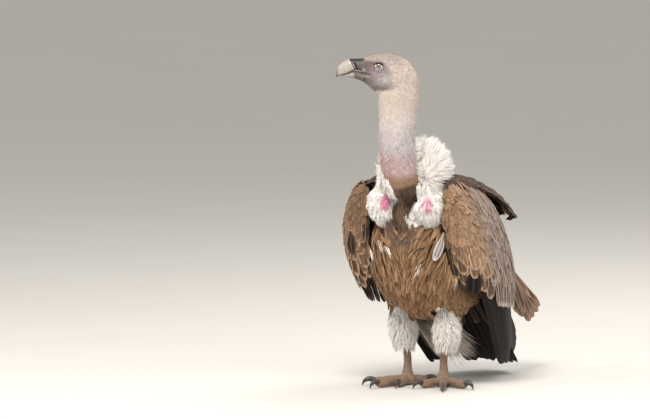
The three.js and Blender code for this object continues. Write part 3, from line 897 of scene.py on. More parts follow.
def skin():
    """One skin: the body's, the head's and neck's, and the legs', which overlap under the down."""
    crop = ellipsoid(CROP["centre"], np.array(CROP["radii"]) - CROP_COAT)
    body = [trunk_flesh(BODY_COAT), crop, ruff_core()]
    for side in SIDES:
        arm = [wing_flesh(), ellipsoid(PATCH["centre"], np.array(PATCH["radii"]) - PATCH_COAT)]
        body += arm if side == "left" else [mirrored(part) for part in arm]
        body.append(thigh_flesh(side))
    body_points, body_faces = remeshed(body, 4.5, 6)
    head_points, head_faces = remeshed([head_flesh(), neck_flesh()], 1.6, 14)
    for _ in range(2):  # the relief follows the skin that the first pass made
        height, crease_shade = head_relief(head_points)
        head_points = head_points + corner_normals(head_points, head_faces) * (height / 2)[:, None]
    crease_shade = head_relief(head_points)[1]
    leg_points, leg_faces = remeshed([part for side in SIDES for part in leg_flesh(side)], 1.3, 2)
    leg_points[:, 2] = np.maximum(leg_points[:, 2], 0)
    points, faces = joined([(body_points, body_faces), (head_points, head_faces), (leg_points, leg_faces)])
    paint = np.concatenate([body_markings(body_points), head_markings(head_points), leg_markings(leg_points)])
    # the painted shade of the head's folds; none on the body and the legs
    crease_shades = np.concatenate([0 * body_points[:, 0], crease_shade, 0 * leg_points[:, 0]])
    scaly = np.concatenate([0 * body_points[:, 0], 0 * crease_shade, 1 + 0 * leg_points[:, 0]])
    values = {"paint": paint, "crease_shade": crease_shades, "scaly": scaly}
    piece = make("skin", points, faces, values, patches=unwrap(points))
    flesh = ["trunk", "rump", "head", "neck_upper", "neck_lower", "crop"]
    for side in SIDES:
        flesh += [f"leg_{side}_{part}" for part in ("thigh", "tarsus")]
        flesh += [f"toe_{side}_{finger}" for finger in TOE_LENGTHS]
    finished(piece, skin_material(), "head_down", *flesh)
    return Surface(head_points, head_faces)


# ---------------------------------------------------------------- the unwrap that the coat's OFBake map is laid out on
ATLAS = {  # where each part of the bird lies on the unwrap: left, bottom, width, height
    "head": (0.00, 0.66, 0.50, 0.34),
    "body": (0.00, 0.00, 0.62, 0.64),
    "legs": (0.64, 0.00, 0.36, 0.64),
    "back": (0.52, 0.66, 0.48, 0.34),
}
ATLAS_MARGIN = 0.01


def unwrap(points):
    """Each point's place on an unwrap of the skin: bands round the head and neck, the trunk and the legs."""
    x, y, z = points.T
    neck = smooth(440, 450, z) > 0.5
    leg = (z < 150) & (np.abs(x) < 110) & (y < 130)
    back = (~neck) & (~leg) & (z > 330)
    around_neck = np.arctan2(x + 12, y + 112) / (2 * math.pi) + 0.5
    around_trunk = np.arctan2(x, z - 300) / (2 * math.pi) + 0.5
    side = (x > 0) * 0.5
    centre = np.where(x > 0, 44.0, -44.0)
    around_leg = (np.arctan2(x - centre, y - 8) / (2 * math.pi) + 0.5) * 0.5
    out_on_floor = np.hypot(x - centre, y - 8)
    parts = [neck, leg, back]
    over_back = np.clip((x + 180) / 360, 0, 1)
    up_leg = np.clip((z + 1.1 * (110 - np.minimum(out_on_floor, 110))) / 275, 0, 1)
    along_trunk = (y + 180) / 600
    u = np.select(parts, [around_neck, around_leg + side, over_back], around_trunk)
    v = np.select(parts, [(z - 440) / 305, up_leg, along_trunk], along_trunk)
    cells = [np.array(ATLAS[k]) for k in ("head", "legs", "back", "body")]
    left, bottom, width, height = (
        np.select(parts, [cell[i] for cell in cells[:3]], cells[3][i]) for i in range(4)
    )
    left, bottom = left + ATLAS_MARGIN, bottom + ATLAS_MARGIN
    return np.stack([left + u * (width - 2 * ATLAS_MARGIN), bottom + v * (height - 2 * ATLAS_MARGIN)], -1)


# ---------------------------------------------------------------- eyes and lids
IRIS_TILT = 0.10  # how far the eyes look forward of straight out


def eyeball(side):
    sign = SIDES[side]
    centre = head_place(0.0, sign * EYE_OUT, EYE_CENTRE[2])
    axis = unit(HEAD_LEFT * sign + FORWARD * IRIS_TILT)
    across = unit(np.cross(UP, axis))
    up = np.cross(axis, across)
    polar = np.radians(np.linspace(1.5, 178, 70))
    bulge = 1 + 0.045 * bump_at(np.degrees(polar), 0, 26)
    middle = centre + axis * (np.cos(polar) * EYE_RADIUS * bulge)[:, None]
    radius = np.sin(polar) * EYE_RADIUS * bulge
    n = len(polar)
    rings = ring_points(middle, np.tile(across, (n, 1)), np.tile(up, (n, 1)), radius, radius, 64)
    points, faces = loft(rings, centre + axis * EYE_RADIUS * bulge[0], centre - axis * EYE_RADIUS)
    angle = np.degrees(np.arccos(np.clip(unit(points - centre) @ axis, -1, 1)))
    return make(f"eyeball_{side}", points, faces, {"off_axis": angle})


LID_REACH, LID_UP, LID_DOWN = 8.8, 5.1, 5.4  # the opening between the lids, from the eye's centre
LID_TILT = 0.13
LID_SECTIONS = [  # out from the opening, out from the eyeball, and how far the skin's own level counts
    (0.3, -1.6, 0),
    (-0.1, 0.1, 0),
    (0.1, 0.6, 0),
    (0.8, 1.0, 0),
    (1.8, 0.95, 0.3),
    (3.0, 0.6, 0.6),
    (4.6, 0.2, 1),
    (6.4, -1.2, 1),
    (4.0, -3.0, 0),
]
# the last colour is the lids' own dark rim line, which also serves as painted shadow under the upper lid
LID_DARK, LID_PALE, LID_LINE_AND_SHADOW = colour(58, 48, 47), colour(172, 176, 190), colour(14, 11, 11)


def eyelids(side, head):
    """A ring of skin round the opening, thickest behind and below the eye."""
    sign = SIDES[side]
    angle = np.linspace(0, 2 * math.pi, 97)[:-1]
    c, s = np.cos(angle), np.sin(angle)
    f = LID_REACH * c
    z = np.where(s > 0, LID_UP, -LID_DOWN) * np.abs(s) ** 1.15 + LID_TILT * f
    away = np.stack([f, z], -1)
    outwards = unit(away)
    below = np.cos(angle - math.radians(222))
    thick = 1 + 0.5 * smooth(-0.2, 1, below) + 0.5 * smooth(0.3, 0.9, s)
    rings = []
    for extra, rise, on_skin in LID_SECTIONS:
        place = away + outwards * (extra * thick)[:, None]
        r2 = (place**2).sum(1)
        ball = EYE_OUT + np.sqrt(np.maximum(EYE_RADIUS**2 * 1.02 - r2, 4.0))
        start = head_place(place[:, 0], sign * 60, EYE_CENTRE[2] + place[:, 1])
        skin_level = []
        for p in start.tolist():
            met = head.tree.ray_cast(Vector(p), Vector((-sign * HEAD_LEFT).tolist()), 60)[0]
            skin_level.append(sign * (np.array(met) - EYE_CENTRE) @ HEAD_LEFT if met is not None else 20)
        level = ball * (1 - on_skin) + np.array(skin_level) * on_skin + rise
        over_ball = (r2 < EYE_RADIUS**2) & (extra > 0.05) & (rise > 0)
        level = np.where(over_ball, np.maximum(level, ball + 0.5), level)
        rings.append(head_place(place[:, 0], sign * level, EYE_CENTRE[2] + place[:, 1]))
    rings = np.array(rings)
    count, sides = rings.shape[:2]
    k, r = np.meshgrid(np.arange(sides), np.arange(count))
    here, beside = r * sides + k, r * sides + (k + 1) % sides
    out, out_beside = (r + 1) % count * sides + k, (r + 1) % count * sides + (k + 1) % sides
    faces = np.stack([here, beside, out, out, beside, out_beside], -1).reshape(-1, 3)
    points, faces = facing_out(rings.reshape(-1, 3), faces)
    ring_number = np.repeat(np.arange(count), sides)
    behind = smooth(-0.5, 0.35, np.tile(below, count))
    above = smooth(0.0, 0.5, np.tile(s, count))
    # the dark rim line round the opening, widened above into painted shadow cast by the upper lid
    lid = mix(mix(LID_DARK, LID_PALE, behind), LID_LINE_AND_SHADOW, (ring_number <= 1 + 3.2 * above) * 0.95)
    in_front, at_rear = smooth(2.6, 4.5, ring_number - 1.4 * above), smooth(4.6, 6.8, ring_number)
    plain = in_front * (1 - behind) + at_rear * behind
    return make(f"eyelids_{side}", points, faces, {"paint": mix(lid, head_markings(points), plain)})


# ---------------------------------------------------------------- bill and claws
BILL_UPPER = [  # forward of the eyes, top, bottom, half width
    [48, 726.6, 709.5, 8.0],
    [54, 727.6, 706.5, 11.2],
    [59, 727.0, 702.2, 13.2],
    [65, 725.8, 698.9, 12.8],
    [71, 723.9, 695.4, 12.0],
    [77, 721.2, 692.8, 10.6],
    [84, 715.6, 691.2, 8.4],
    [89.5, 707.6, 690.0, 5.6],
    [92.8, 699.5, 688.4, 3.2],
]
BILL_LOWER = [
    [33, 697.5, 678.6, 15.0],
    [40, 699.5, 680.4, 14.3],
    [47, 701.6, 683.0, 12.6],
    [57, 699.8, 686.6, 10.6],
    [68, 695.4, 687.8, 8.8],
    [78, 691.6, 688.4, 5.2],
]
CERE_BODY = [
    [30, 729.2, 700, 15.6],
    [38, 729.0, 701.5, 15.2],
    [46, 728.8, 703, 14.7],
    [52, 728.5, 703.8, 14.3],
    [56.5, 727.8, 703.6, 13.7],
]
CERE_SLANT = 0.56  # its front edge leans: further forward at the top
NOSTRIL = {"top": (53.5, 722.5), "bottom": (46.0, 706.5)}
LOW_HORN = 54.0  # where the lower mandible's horn starts


def horn_paint(f, z):
    paint = mix(HORN, HORN_TIP, 0.85 * smooth(86, 93, f))
    # darker along the lower edge: the horn's own dark edge, widened towards the hook into painted shade of
    # the mouth's gap
    edge = z - np.interp(f, [48, 60, 71, 84, 93], [706.5, 701, 695.4, 691.2, 688.4])
    return mix(paint, HORN_TIP, 0.92 * (1 - smooth(0.6, 2.8 + 1.6 * smooth(72, 84, f), edge)))


def bill():
    poles = [[47, 716], [93.6, 688.2]]
    points, faces = sliced(BILL_UPPER, on_head_middle, HEAD_LEFT, poles, 90, 64, 2.25)
    f, left, z = head_frame(points)
    lean = CERE_SLANT * (z - 714) * (1 - smooth(54, 76, f))
    keel = bump_at(left, 0, 3.0) * smooth(60, 75, f) * (z > 705) * 0.5
    points = points + UP * keel[:, None] + FORWARD * lean[:, None]
    f, _, z = head_frame(points)
    upper = make("bill_upper_horn", points, faces, {"paint": horn_paint(f, z)})
    points, faces = sliced(BILL_LOWER, on_head_middle, HEAD_LEFT, [[32, 688], [81.5, 690.8]], 80, 64, 2.1)
    f, _, z = head_frame(points)
    horn = mix(HORN, HORN_TIP, 0.25 + 0.5 * (1 - smooth(0, 3.5, z - 687.5)))
    start = smooth(-0.8, 0.8, f - LOW_HORN - 0.25 * (z - 694))
    paint = mix(head_markings(points), horn, start)
    lower = make("bill_lower_horn", points, faces, {"paint": paint, "soft": 1 - start})
    return upper, lower


def cere():
    points, faces = sliced(CERE_BODY, on_head_middle, HEAD_LEFT, [[28, 715], [55.5, 715]], 140, 140, 2.25)
    f, _, z = head_frame(points)
    slant = CERE_SLANT * (z - 714) * smooth(36, 54, f)
    points = points + FORWARD * slant[:, None]
    f, left, z = head_frame(points)
    (top_f, top_z), (low_f, low_z) = NOSTRIL["top"], NOSTRIL["bottom"]
    share = np.clip((z - low_z) / (top_z - low_z), 0, 1)
    line = low_f + (top_f - low_f) * share + 1.2 * np.sin(math.pi * share)
    groove = bump_at(f, line, 1.7) * smooth(low_z - 1, low_z + 2, z) * (1 - smooth(top_z - 3, top_z, z))
    groove = groove * smooth(4, 8, np.abs(left))
    swell = bump_at(f, line + 3.6, 2.0) * smooth(low_z, low_z + 5, z) * (1 - smooth(top_z - 6, top_z - 1, z))
    out = HEAD_LEFT * np.sign(left)[:, None]
    points = points + out * (swell * 0.8 * smooth(6, 10, np.abs(left)) - groove * 2.8)[:, None]
    black = smooth(719.8, 723.2, z + 0.12 * (f - 48)) * smooth(33, 38, f + 0.5 * (z - 722))
    paint = mix(mix(head_markings(points), LORES, 0.45), colour(170, 162, 157), 0.85 * swell)
    front = CERE_BODY[-1][0] + CERE_SLANT * (z - 714)
    paint = mix(paint, CERE, np.maximum(black, 0.85 * smooth(-2.2, -0.6, f - front)))
    # painted shade of the gape's fold along the cere's lower edge
    paint = mix(paint, LORES, (1 - smooth(704, 709, z)) * smooth(34, 42, f))
    # painted shade: the nostril's slit is painted near black
    paint = mix(paint, colour(12, 11, 12), np.clip(groove * 1.7, 0, 1))
    return make("cere_skin", points, faces, {"paint": paint, "soft": 1 - 0.7 * black})


def claw(side, finger):
    start, out, across = toe_line(side, finger)
    length = TOE_LENGTHS[finger]
    at = lambda d, z: start + out * d + UP * z
    tip = length + CLAW_LENGTH - 4
    places = [at(length - 7, 10.5), at(length + 8, 15.6), at(length + 20, 11.5), at(tip, 0.9)]
    points, faces = limb(places, [5.2, 4.5, 3.1, 0.5], [6.4, 5.8, 3.9, 0.5], 40, 24, across)
    points[:, 2] = np.maximum(points[:, 2], 0)
    paint = mix(CLAW, colour(96, 86, 80), smooth(12, 17, points[:, 2]) * 0.5)
    return make(f"claw_horn_{side}_{finger}", points, faces, {"paint": paint})


# ---------------------------------------------------------------- coat: where it grows and how it lies
rng = np.random.default_rng(SEED)
ROUND = (0.45, 0.58, 2.2)  # where a vane reaches its width, where it starts to close, and how squarely
LANCE = (0.40, 0.34, 1.35)
STRAP = (0.22, 0.80, 2.0)
QUILL = (0.14, 0.86, 2.2)
BROAD = (0.55, 0.62, 2.0)
PATCH_SIZE = 0.003  # of a tuft on the unwrap


def form_surface():
    """The outer form that the coat lies on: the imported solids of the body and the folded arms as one."""
    names = ["trunk", "rump", "crop", "ruff", "neck_lower"]
    for side in SIDES:
        names += [f"wing_{side}_coverts", f"wing_{side}_scapulars", f"shoulder_patch_{side}"]
        names += [f"leg_{side}_thigh", f"leg_{side}_sock"]
    return Surface(*remeshed([triangles_of(frame["nodes"][name].data) for name in names], 4.0, 4))


def thinned(points, spacing):
    """Leaves out points until none is nearer to another than the spacing."""
    tree = KDTree(len(points))
    for i, p in enumerate(points.tolist()):
        tree.insert(p, i)
    tree.balance()
    kept, gone = [], np.zeros(len(points), bool)
    for i, p in enumerate(points.tolist()):
        if not gone[i]:
            kept.append(i)
            for _, j, _ in tree.find_range(p, spacing):
                gone[j] = True
    return points[kept]


def scattered(mesh, spacing, crowd=4.0):
    """Places on a mesh, at random and about the spacing apart."""
    points, faces = mesh
    a, b, c = (points[faces[:, i]] for i in range(3))
    area = np.linalg.norm(np.cross(b - a, c - a), axis=1) / 2
    count = int(area.sum() / spacing**2 * crowd)
    pick = rng.choice(len(faces), count, p=area / area.sum())
    u, v = rng.random((2, count))
    u, v = np.where(u + v > 1, 1 - u, u), np.where(u + v > 1, 1 - v, v)
    places = a[pick] + u[:, None] * (b - a)[pick] + v[:, None] * (c - a)[pick]
    return thinned(places, spacing)


def node_mesh(*names):
    return joined([triangles_of(frame["nodes"][name].data) for name in names])


def grown_on(form, mesh, spacing, open_for=70.0, slack=3.0):
    """Roots on a node's mesh, only where it is the outside of the whole form and nothing covers it."""
    places = scattered(mesh, spacing)
    on_form, normal = form.nearest(places)
    near = np.linalg.norm(on_form - places, axis=1) < slack
    places, normal = places[near], normal[near]
    seen = ~form.hit(places + normal * 4, normal, open_for)
    return places[seen]


def row_steps(rows):
    """Shares of a vane's length, closer together towards its tip."""
    return 1 - (1 - np.linspace(0, 1, rows)) ** 1.5


def laid_on(form, roots, ways, lengths, rows):
    """Each vane's line over the form from its root, and the form's normals along it."""
    here, normal = form.nearest(roots)
    places, normals = [here], [normal]
    for step in np.diff(row_steps(rows)):
        ahead = unit(ways - (ways * normal).sum(1, keepdims=True) * normal)
        here, normal = form.nearest(here + ahead * (lengths * step)[:, None])
        places.append(here)
        normals.append(normal)
    return np.stack(places, 1), np.stack(normals, 1)


def swayed(ways, amount):
    return unit(unit(ways) + rng.normal(0, amount, ways.shape))


def vane_width(u, rise, close, power):
    end = np.clip((u - close) / (1 - close), 0, 1)
    return np.maximum((0.2 + 0.8 * smooth(0, rise, u)) * (1 - end**power) ** (1 / power), 0.08)


def spread(values, count):
    """One value or colour for all, or one for each, as one for each."""
    values = np.asarray(values, float)
    if values.ndim in (0, 1) and values.shape != (count,):
        return np.broadcast_to(values, (count,) + values.shape).copy()
    return values


def vanes(places, normals, half, shape, paint, fringe, rim=0.6, shaft=0.3, cup=0.16, sink=5.0, lift=1.5,
          thick=0.5, columns=5, ragged=0.05, tip_paint=None, curl=0.0):
    """Closed, slightly cupped vanes along their lines: below the coat at the root and over it at the tip."""
    count, rows = places.shape[:2]
    u = row_steps(rows)
    half, rim, shaft, lift, sink = (spread(k, count) for k in (half, rim, shaft, lift, sink))
    rise = lift[:, None] * u**1.6 - sink[:, None] * (1 - u) ** 1.7 + curl * half[:, None] * u**4
    line = places + normals * rise[..., None]
    ahead = unit(np.gradient(line, axis=1))
    across = unit(np.cross(ahead, normals))
    up = unit(np.cross(across, ahead))
    x = np.linspace(-1, 1, columns)
    x = np.concatenate([x, x[-2:0:-1]])
    top = np.arange(len(x)) < columns
    wide = half[:, None] * vane_width(u, *shape)
    wide = wide[..., None] * (1 + ragged * rng.normal(0, 1, (count, rows, len(x))) * (np.abs(x) == 1))
    body = thick * np.minimum(1, 1.6 * (1 - u) + 0.3)[None, :, None] * (1 - x**2)
    high = cup * wide * (1 - x**2) - np.where(top, 0, body) + 0.25 * thick * (np.abs(x) < 0.1) * top
    points = line[:, :, None] + across[:, :, None] * (x * wide)[..., None] + up[:, :, None] * high[..., None]
    ring, r, k = len(x), np.arange(rows - 1)[:, None], np.arange(len(x))
    a, b = r * ring + k, r * ring + (k + 1) % ring
    tube = np.stack([a, a + ring, b, b, a + ring, b + ring], -1).reshape(-1, 3)
    caps = [[0, i, i + 1] for i in range(1, ring - 1)]
    last = (rows - 1) * ring
    caps += [[last, last + i + 1, last + i] for i in range(1, ring - 1)]
    faces = np.concatenate([tube, np.array(caps)])
    each = np.arange(count)[:, None, None] * (rows * ring)
    grid = np.ones((count, rows, ring))
    steps = np.linalg.norm(np.diff(places, axis=1), axis=2)
    length = np.concatenate([np.zeros((count, 1)), np.cumsum(steps, 1)], 1)
    paint, fringe = spread(paint, count), spread(fringe, count)
    tip = paint if tip_paint is None else spread(tip_paint, count)
    share = (u**1.5)[None, :, None, None]
    colours = paint[:, None, None] * (1 - share) + tip[:, None, None] * share
    on_patch = np.stack([x * grid * PATCH_SIZE / 2, (u[:, None] - 0.5) * grid * PATCH_SIZE], -1)
    uv = unwrap(places[:, 0])[:, None, None] + on_patch
    values = {
        "across": x * grid,
        "along": u[:, None] * grid,
        "tone": rng.random((count, 1, 1)) * grid,
        "rim": rim[:, None, None] * grid,
        "shaft": shaft[:, None, None] * grid,
        "length": length[:, :, None] * grid,
        "slant": np.abs(x) * wide,
        "paint": colours * grid[..., None],
        "fringe": fringe[:, None, None] * grid[..., None],
        "border": (np.abs(x) == 1) * grid,
    }
    flat = {key: v.reshape(-1, 3) if v.ndim == 4 else v.ravel() for key, v in values.items()}
    return points.reshape(-1, 3), (faces[None] + each).reshape(-1, 3), flat, uv.reshape(-1, 2)


def strands(roots, ways, bends, lengths, widths, base, tip, rows=4):
    """Tapered wisps of down: each goes its way from the root and bends as it goes."""
    count = len(roots)
    u = np.linspace(0, 0.86, rows)
    lengths, widths = spread(lengths, count), spread(widths, count)
    course = ways[:, None] * u[:, None] + bends[:, None] * (u**2)[:, None]
    path = roots[:, None] + course * lengths[:, None, None]
    ahead = unit(ways[:, None] + 2 * bends[:, None] * u[:, None])
    across = unit(np.cross(ahead, rng.normal(0, 1, (count, 1, 3))))
    up = np.cross(across, ahead)
    wide = widths[:, None] * (1 - 0.75 * u**1.5)
    corners = np.array([[-1, 0], [1, 0], [0, 0.7]])
    points = (
        path[:, :, None]
        + across[:, :, None] * (corners[:, 0] * wide[..., None])[..., None]
        + up[:, :, None] * (corners[:, 1] * wide[..., None])[..., None]
    ).reshape(count, -1, 3)
    points = np.concatenate([points, (roots + (ways + bends) * lengths[:, None])[:, None]], 1)
    r, k = np.arange(rows - 1)[:, None], np.arange(3)
    a, b = r * 3 + k, r * 3 + (k + 1) % 3
    end = (rows - 1) * 3
    faces = np.concatenate([
        np.stack([a, b, a + 3, a + 3, b, b + 3], -1).reshape(-1, 3),
        [[end + i, end + (i + 1) % 3, end + 3] for i in range(3)],
        [[0, 2, 1]],
    ])
    size = points.shape[1]
    share = np.concatenate([np.repeat(u, 3), [1.0]])[None, :, None]
    base, tip = spread(base, count), spread(tip, count)
    values = {
        "tone": np.repeat(rng.random(count), size),
        "paint": (base[:, None] * (1 - share) + tip[:, None] * share).reshape(-1, 3),
    }
    turn = rng.random(size) * 2 * math.pi
    uv = unwrap(roots)[:, None] + np.stack([np.cos(turn), np.sin(turn)], -1) * PATCH_SIZE / 2
    faces = faces[None] + np.arange(count)[:, None, None] * size
    return points.reshape(-1, 3), faces.reshape(-1, 3), values, uv.reshape(-1, 2)


def coat_piece(name, batches, material, slot, *nodes):
    """Several batches of vanes or wisps as one piece."""
    points, faces = joined([(p, f) for p, f, _, _ in batches])
    values = {key: np.concatenate([v[key] for _, _, v, _ in batches]) for key in batches[0][2]}
    border = values.pop("border", None)
    patches = np.concatenate([uv for _, _, _, uv in batches])
    rim = None if border is None else border > 0.5
    return finished(make(name, points, faces, values, rim, patches), material, slot, *nodes)


def varied(paint, other, low=0.0, high=1.0, count=None):
    """The paint for each of many feathers, each somewhere between two colours."""
    return mix(paint, other, low + (high - low) * rng.random(count))


def between(low, high, count):
    return low + (high - low) * rng.random(count)


def tufts_of(roots, cell):
    """For each root, the one that leads its tuft."""
    order = rng.permutation(len(roots))
    centres = thinned(roots[order], cell)
    tree = KDTree(len(roots))
    for i, p in enumerate(roots.tolist()):
        tree.insert(p, i)
    tree.balance()
    heads = np.array([tree.find(p)[1] for p in centres.tolist()])
    near = KDTree(len(heads))
    for i, p in enumerate(roots[heads].tolist()):
        near.insert(p, i)
    near.balance()
    return heads[[near.find(p)[1] for p in roots.tolist()]]


def clumped(roots, ways, lengths, cell, pull):
    """Draws each wisp's tip towards the tip of its clump's own wisp, so that the down lies in tufts."""
    chosen = tufts_of(roots, cell)
    tips = roots + ways * lengths[:, None]
    return unit(mix(tips, tips[chosen], pull) - roots)


# ---------------------------------------------------------------- coat: the body's tracts
def on_sock(points, grow=0.0):
    """Whether each point is on the white down of a leg, which is rounded off above."""
    x, y, z = points.T
    heel = np.where(x > 0, HEELS["left"], HEELS["right"])
    return (z > SOCK_LOW) & (z < 188 + grow - 0.03 * (np.abs(x) - heel - 4) ** 2) & (y < 20)


def body_flow(points):
    """Down and back over the breast, in towards the keel in front, and back along the flanks and the rump."""
    x, y, z = points.T
    front = 1 - smooth(-70, 60, y)
    low = 1 - smooth(165, 240, z)
    inward = -0.62 * np.tanh(x / 30) * front * (1 - low) * (0.4 + 0.6 * smooth(215, 330, z))
    back = 0.2 + 1.0 * smooth(-40, 120, y) + 1.0 * low
    down = -(1 - 0.75 * smooth(60, 180, y))
    return unit(np.stack([inward, back, down], -1))


def breast_coat(form):
    """Narrow streaked feathers on the upper breast, broader pointed ones with pale edges below."""
    roots = grown_on(form, node_mesh("trunk", "rump"), 7.6)
    x, y, z = roots.T
    by_leg = (z < 205) & (np.abs(x) > 26) & (y < 45) & (y > -70)
    roots = roots[(z < 452) & ~(by_leg & (rng.random(len(z)) < 0.3)) & ~on_sock(roots) & ~in_lobe(roots, 0.9)]
    x, y, z = roots.T
    n = len(roots)
    high = smooth(225, 320, z) * (1 - smooth(0, 90, y))
    by_leg = smooth(215, 190, z) * smooth(18, 34, np.abs(x)) * smooth(60, 35, y)
    lengths = (between(36, 52, n) * (1 - high) + between(34, 56, n) * high) * (1 - 0.55 * by_leg)
    half = between(7.0, 10.5, n) * (1 - high) + between(3.4, 6.0, n) * high
    ways = swayed(body_flow(roots), 0.10 + 0.08 * high[:, None])
    places, normals = laid_on(form, roots, ways, lengths, 7)
    paint = varied(BREAST, BREAST_DARK, 0, 0.62, n)
    pale = rng.random(n) ** 3
    paint = mix(paint, BREAST_PALE, 0.75 * pale)
    tip = mix(paint, BREAST_PALE, between(0.0, 0.45, n))
    fringe = varied(BREAST_PALE, BREAST, 0, 0.5, n)
    return vanes(places, normals, half, LANCE, paint, fringe, rim=between(0.05, 0.6, n),
                 shaft=between(0.1, 0.8, n), lift=between(0.8, 5.5, n) * (1 - 0.5 * by_leg), sink=6.5,
                 cup=0.28, tip_paint=tip, curl=0.1)


def thigh_coat(form):
    """The brown feathers of the thighs, outside and behind the white down."""
    roots = grown_on(form, node_mesh("leg_left_thigh", "leg_right_thigh"), 8.5, open_for=30)
    roots = roots[~on_sock(roots) & (roots[:, 2] > 158)]
    n = len(roots)
    ways = swayed(np.tile([0, 0.45, -1.0], (n, 1)), 0.14)
    places, normals = laid_on(form, roots, ways, between(26, 40, n), 7)
    paint = varied(BREAST, BREAST_DARK, 0, 0.6, n)
    fringe = varied(BREAST_PALE, COVERT_FRINGE, 0, 0.6, n)
    return vanes(places, normals, between(6, 9, n), ROUND, paint, fringe, rim=between(0.1, 0.6, n),
                 shaft=between(0.1, 0.6, n), sink=6.5, lift=between(1, 4, n), cup=0.22)


def crop_coat(form):
    """The short dark feathers below the crop, between the shoulder patches."""
    roots = grown_on(form, node_mesh("crop", "trunk", "neck_lower"), 3.4, open_for=25)
    x, y, z = roots.T
    roots = roots[(np.abs(x) < 46) & (y < -70) & (z > 318) & (z < 446 + 0.009 * x**2) & ~in_lobe(roots, 0.92)]
    roots = roots[~(on_arm(roots) & (roots[:, 2] > 412))]
    n = len(roots)
    ways = swayed(np.stack([-0.012 * roots[:, 0], np.full(n, -0.15), np.full(n, -1.0)], -1), 0.16)
    places, normals = laid_on(form, roots, ways, between(16, 27, n), 6)
    # painted shade under the crop's bulge: the upper feathers darken, except in a strip down the middle
    shade_under_crop = smooth(5, 14, np.abs(roots[:, 0] - 1)) * smooth(360, 385, roots[:, 2])
    paint = varied(colour(122, 97, 80), colour(146, 120, 102), 0, 0.8, n)
    paint = mix(paint, CROP_DARK, np.maximum(0.9 * shade_under_crop, 0.15))
    fringe = varied(colour(136, 112, 94), CROP_DARK, 0, 0.6, n)
    return vanes(places, normals, between(1.5, 2.6, n), LANCE, paint, fringe, rim=0.25, shaft=0.4, sink=2.5,
                 lift=between(0.5, 3.5, n), columns=3)


def back_coat(form):
    """The mantle: broad brown feathers with paler edges, in rows down the back."""
    names = ("trunk", "rump", "wing_left_scapulars", "wing_right_scapulars")
    roots = grown_on(form, node_mesh(*names), 13.5, open_for=40)
    roots = roots[(roots[:, 2] > 300) & (roots[:, 1] > -75)]
    _, normal = form.nearest(roots)
    roots = roots[normal[:, 2] > 0.2]
    x, y = roots[:, 0], roots[:, 1]
    n = len(roots)
    ways = swayed(np.stack([0.10 * np.sign(x), 0 * x + 1, 0 * x - 0.15], -1), 0.09)
    size = smooth(-80, 120, y)
    lengths = between(28, 38, n) + 26 * size
    places, normals = laid_on(form, roots, ways, lengths, 8)
    paint = varied(BACK_BROWN, COVERT_DARK, 0, 1, n)
    fringe = varied(BACK_FRINGE, BREAST_PALE, 0, 0.3, n)
    half = between(7, 10, n) + 4 * size
    return vanes(places, normals, half, ROUND, paint, fringe, rim=between(0.1, 0.55, n),
                 shaft=between(0.1, 0.4, n), sink=5, lift=between(0.5, 5.0, n), cup=0.2)


# ---------------------------------------------------------------- coat: wings and tail
def on_fan(fan, s, t, lengths, rows, mirror, turn=0.0):
    """Lines down a fan from their roots, and the normals there; a turn slants them to its last column."""
    u = row_steps(rows)
    share = s[:, None] + (lengths / fan.length(t))[:, None] * u
    across = t[:, None] + np.asarray(turn)[..., None] * u
    places, normals = fan.point(share, across), fan.outward(share, across)
    flip = np.array([mirror, 1, 1])
    return places * flip, normals * flip


def spaced(fan, s, step, low, high):
    """Places across a fan at one height, evenly apart on its surface."""
    t = np.linspace(low, high, 160)
    line = fan.point(s, t)
    arc = np.concatenate([[0], np.cumsum(np.linalg.norm(np.diff(line, axis=0), axis=1))])
    count = max(int(arc[-1] / step), 2)
    return np.interp((np.arange(count) + rng.random()) / count * arc[-1], arc, t)


COVERT_ROWS = [  # where a row's roots are down the wing, and its front feathers' length and half width
    (-0.08, 24, 4.6),
    (-0.04, 24, 4.8),
    (0.00, 25, 5.0),
    (0.04, 26, 5.2),
    (0.08, 27, 5.5),
    (0.12, 28, 5.8),
    (0.165, 30, 6.2),
    (0.21, 32, 6.8),
    (0.26, 35, 7.5),
    (0.315, 38, 8.4),
    (0.375, 42, 9.4),
    (0.44, 46, 10.4),
    (0.51, 51, 11.4),
    (0.585, 57, 12.2),
    (0.665, 62, 12.6),
]


SHADE = {"left": 0.0, "right": 0.32}  # painted shade: the right wing's coverts are darkened as if that wing lay in shadow
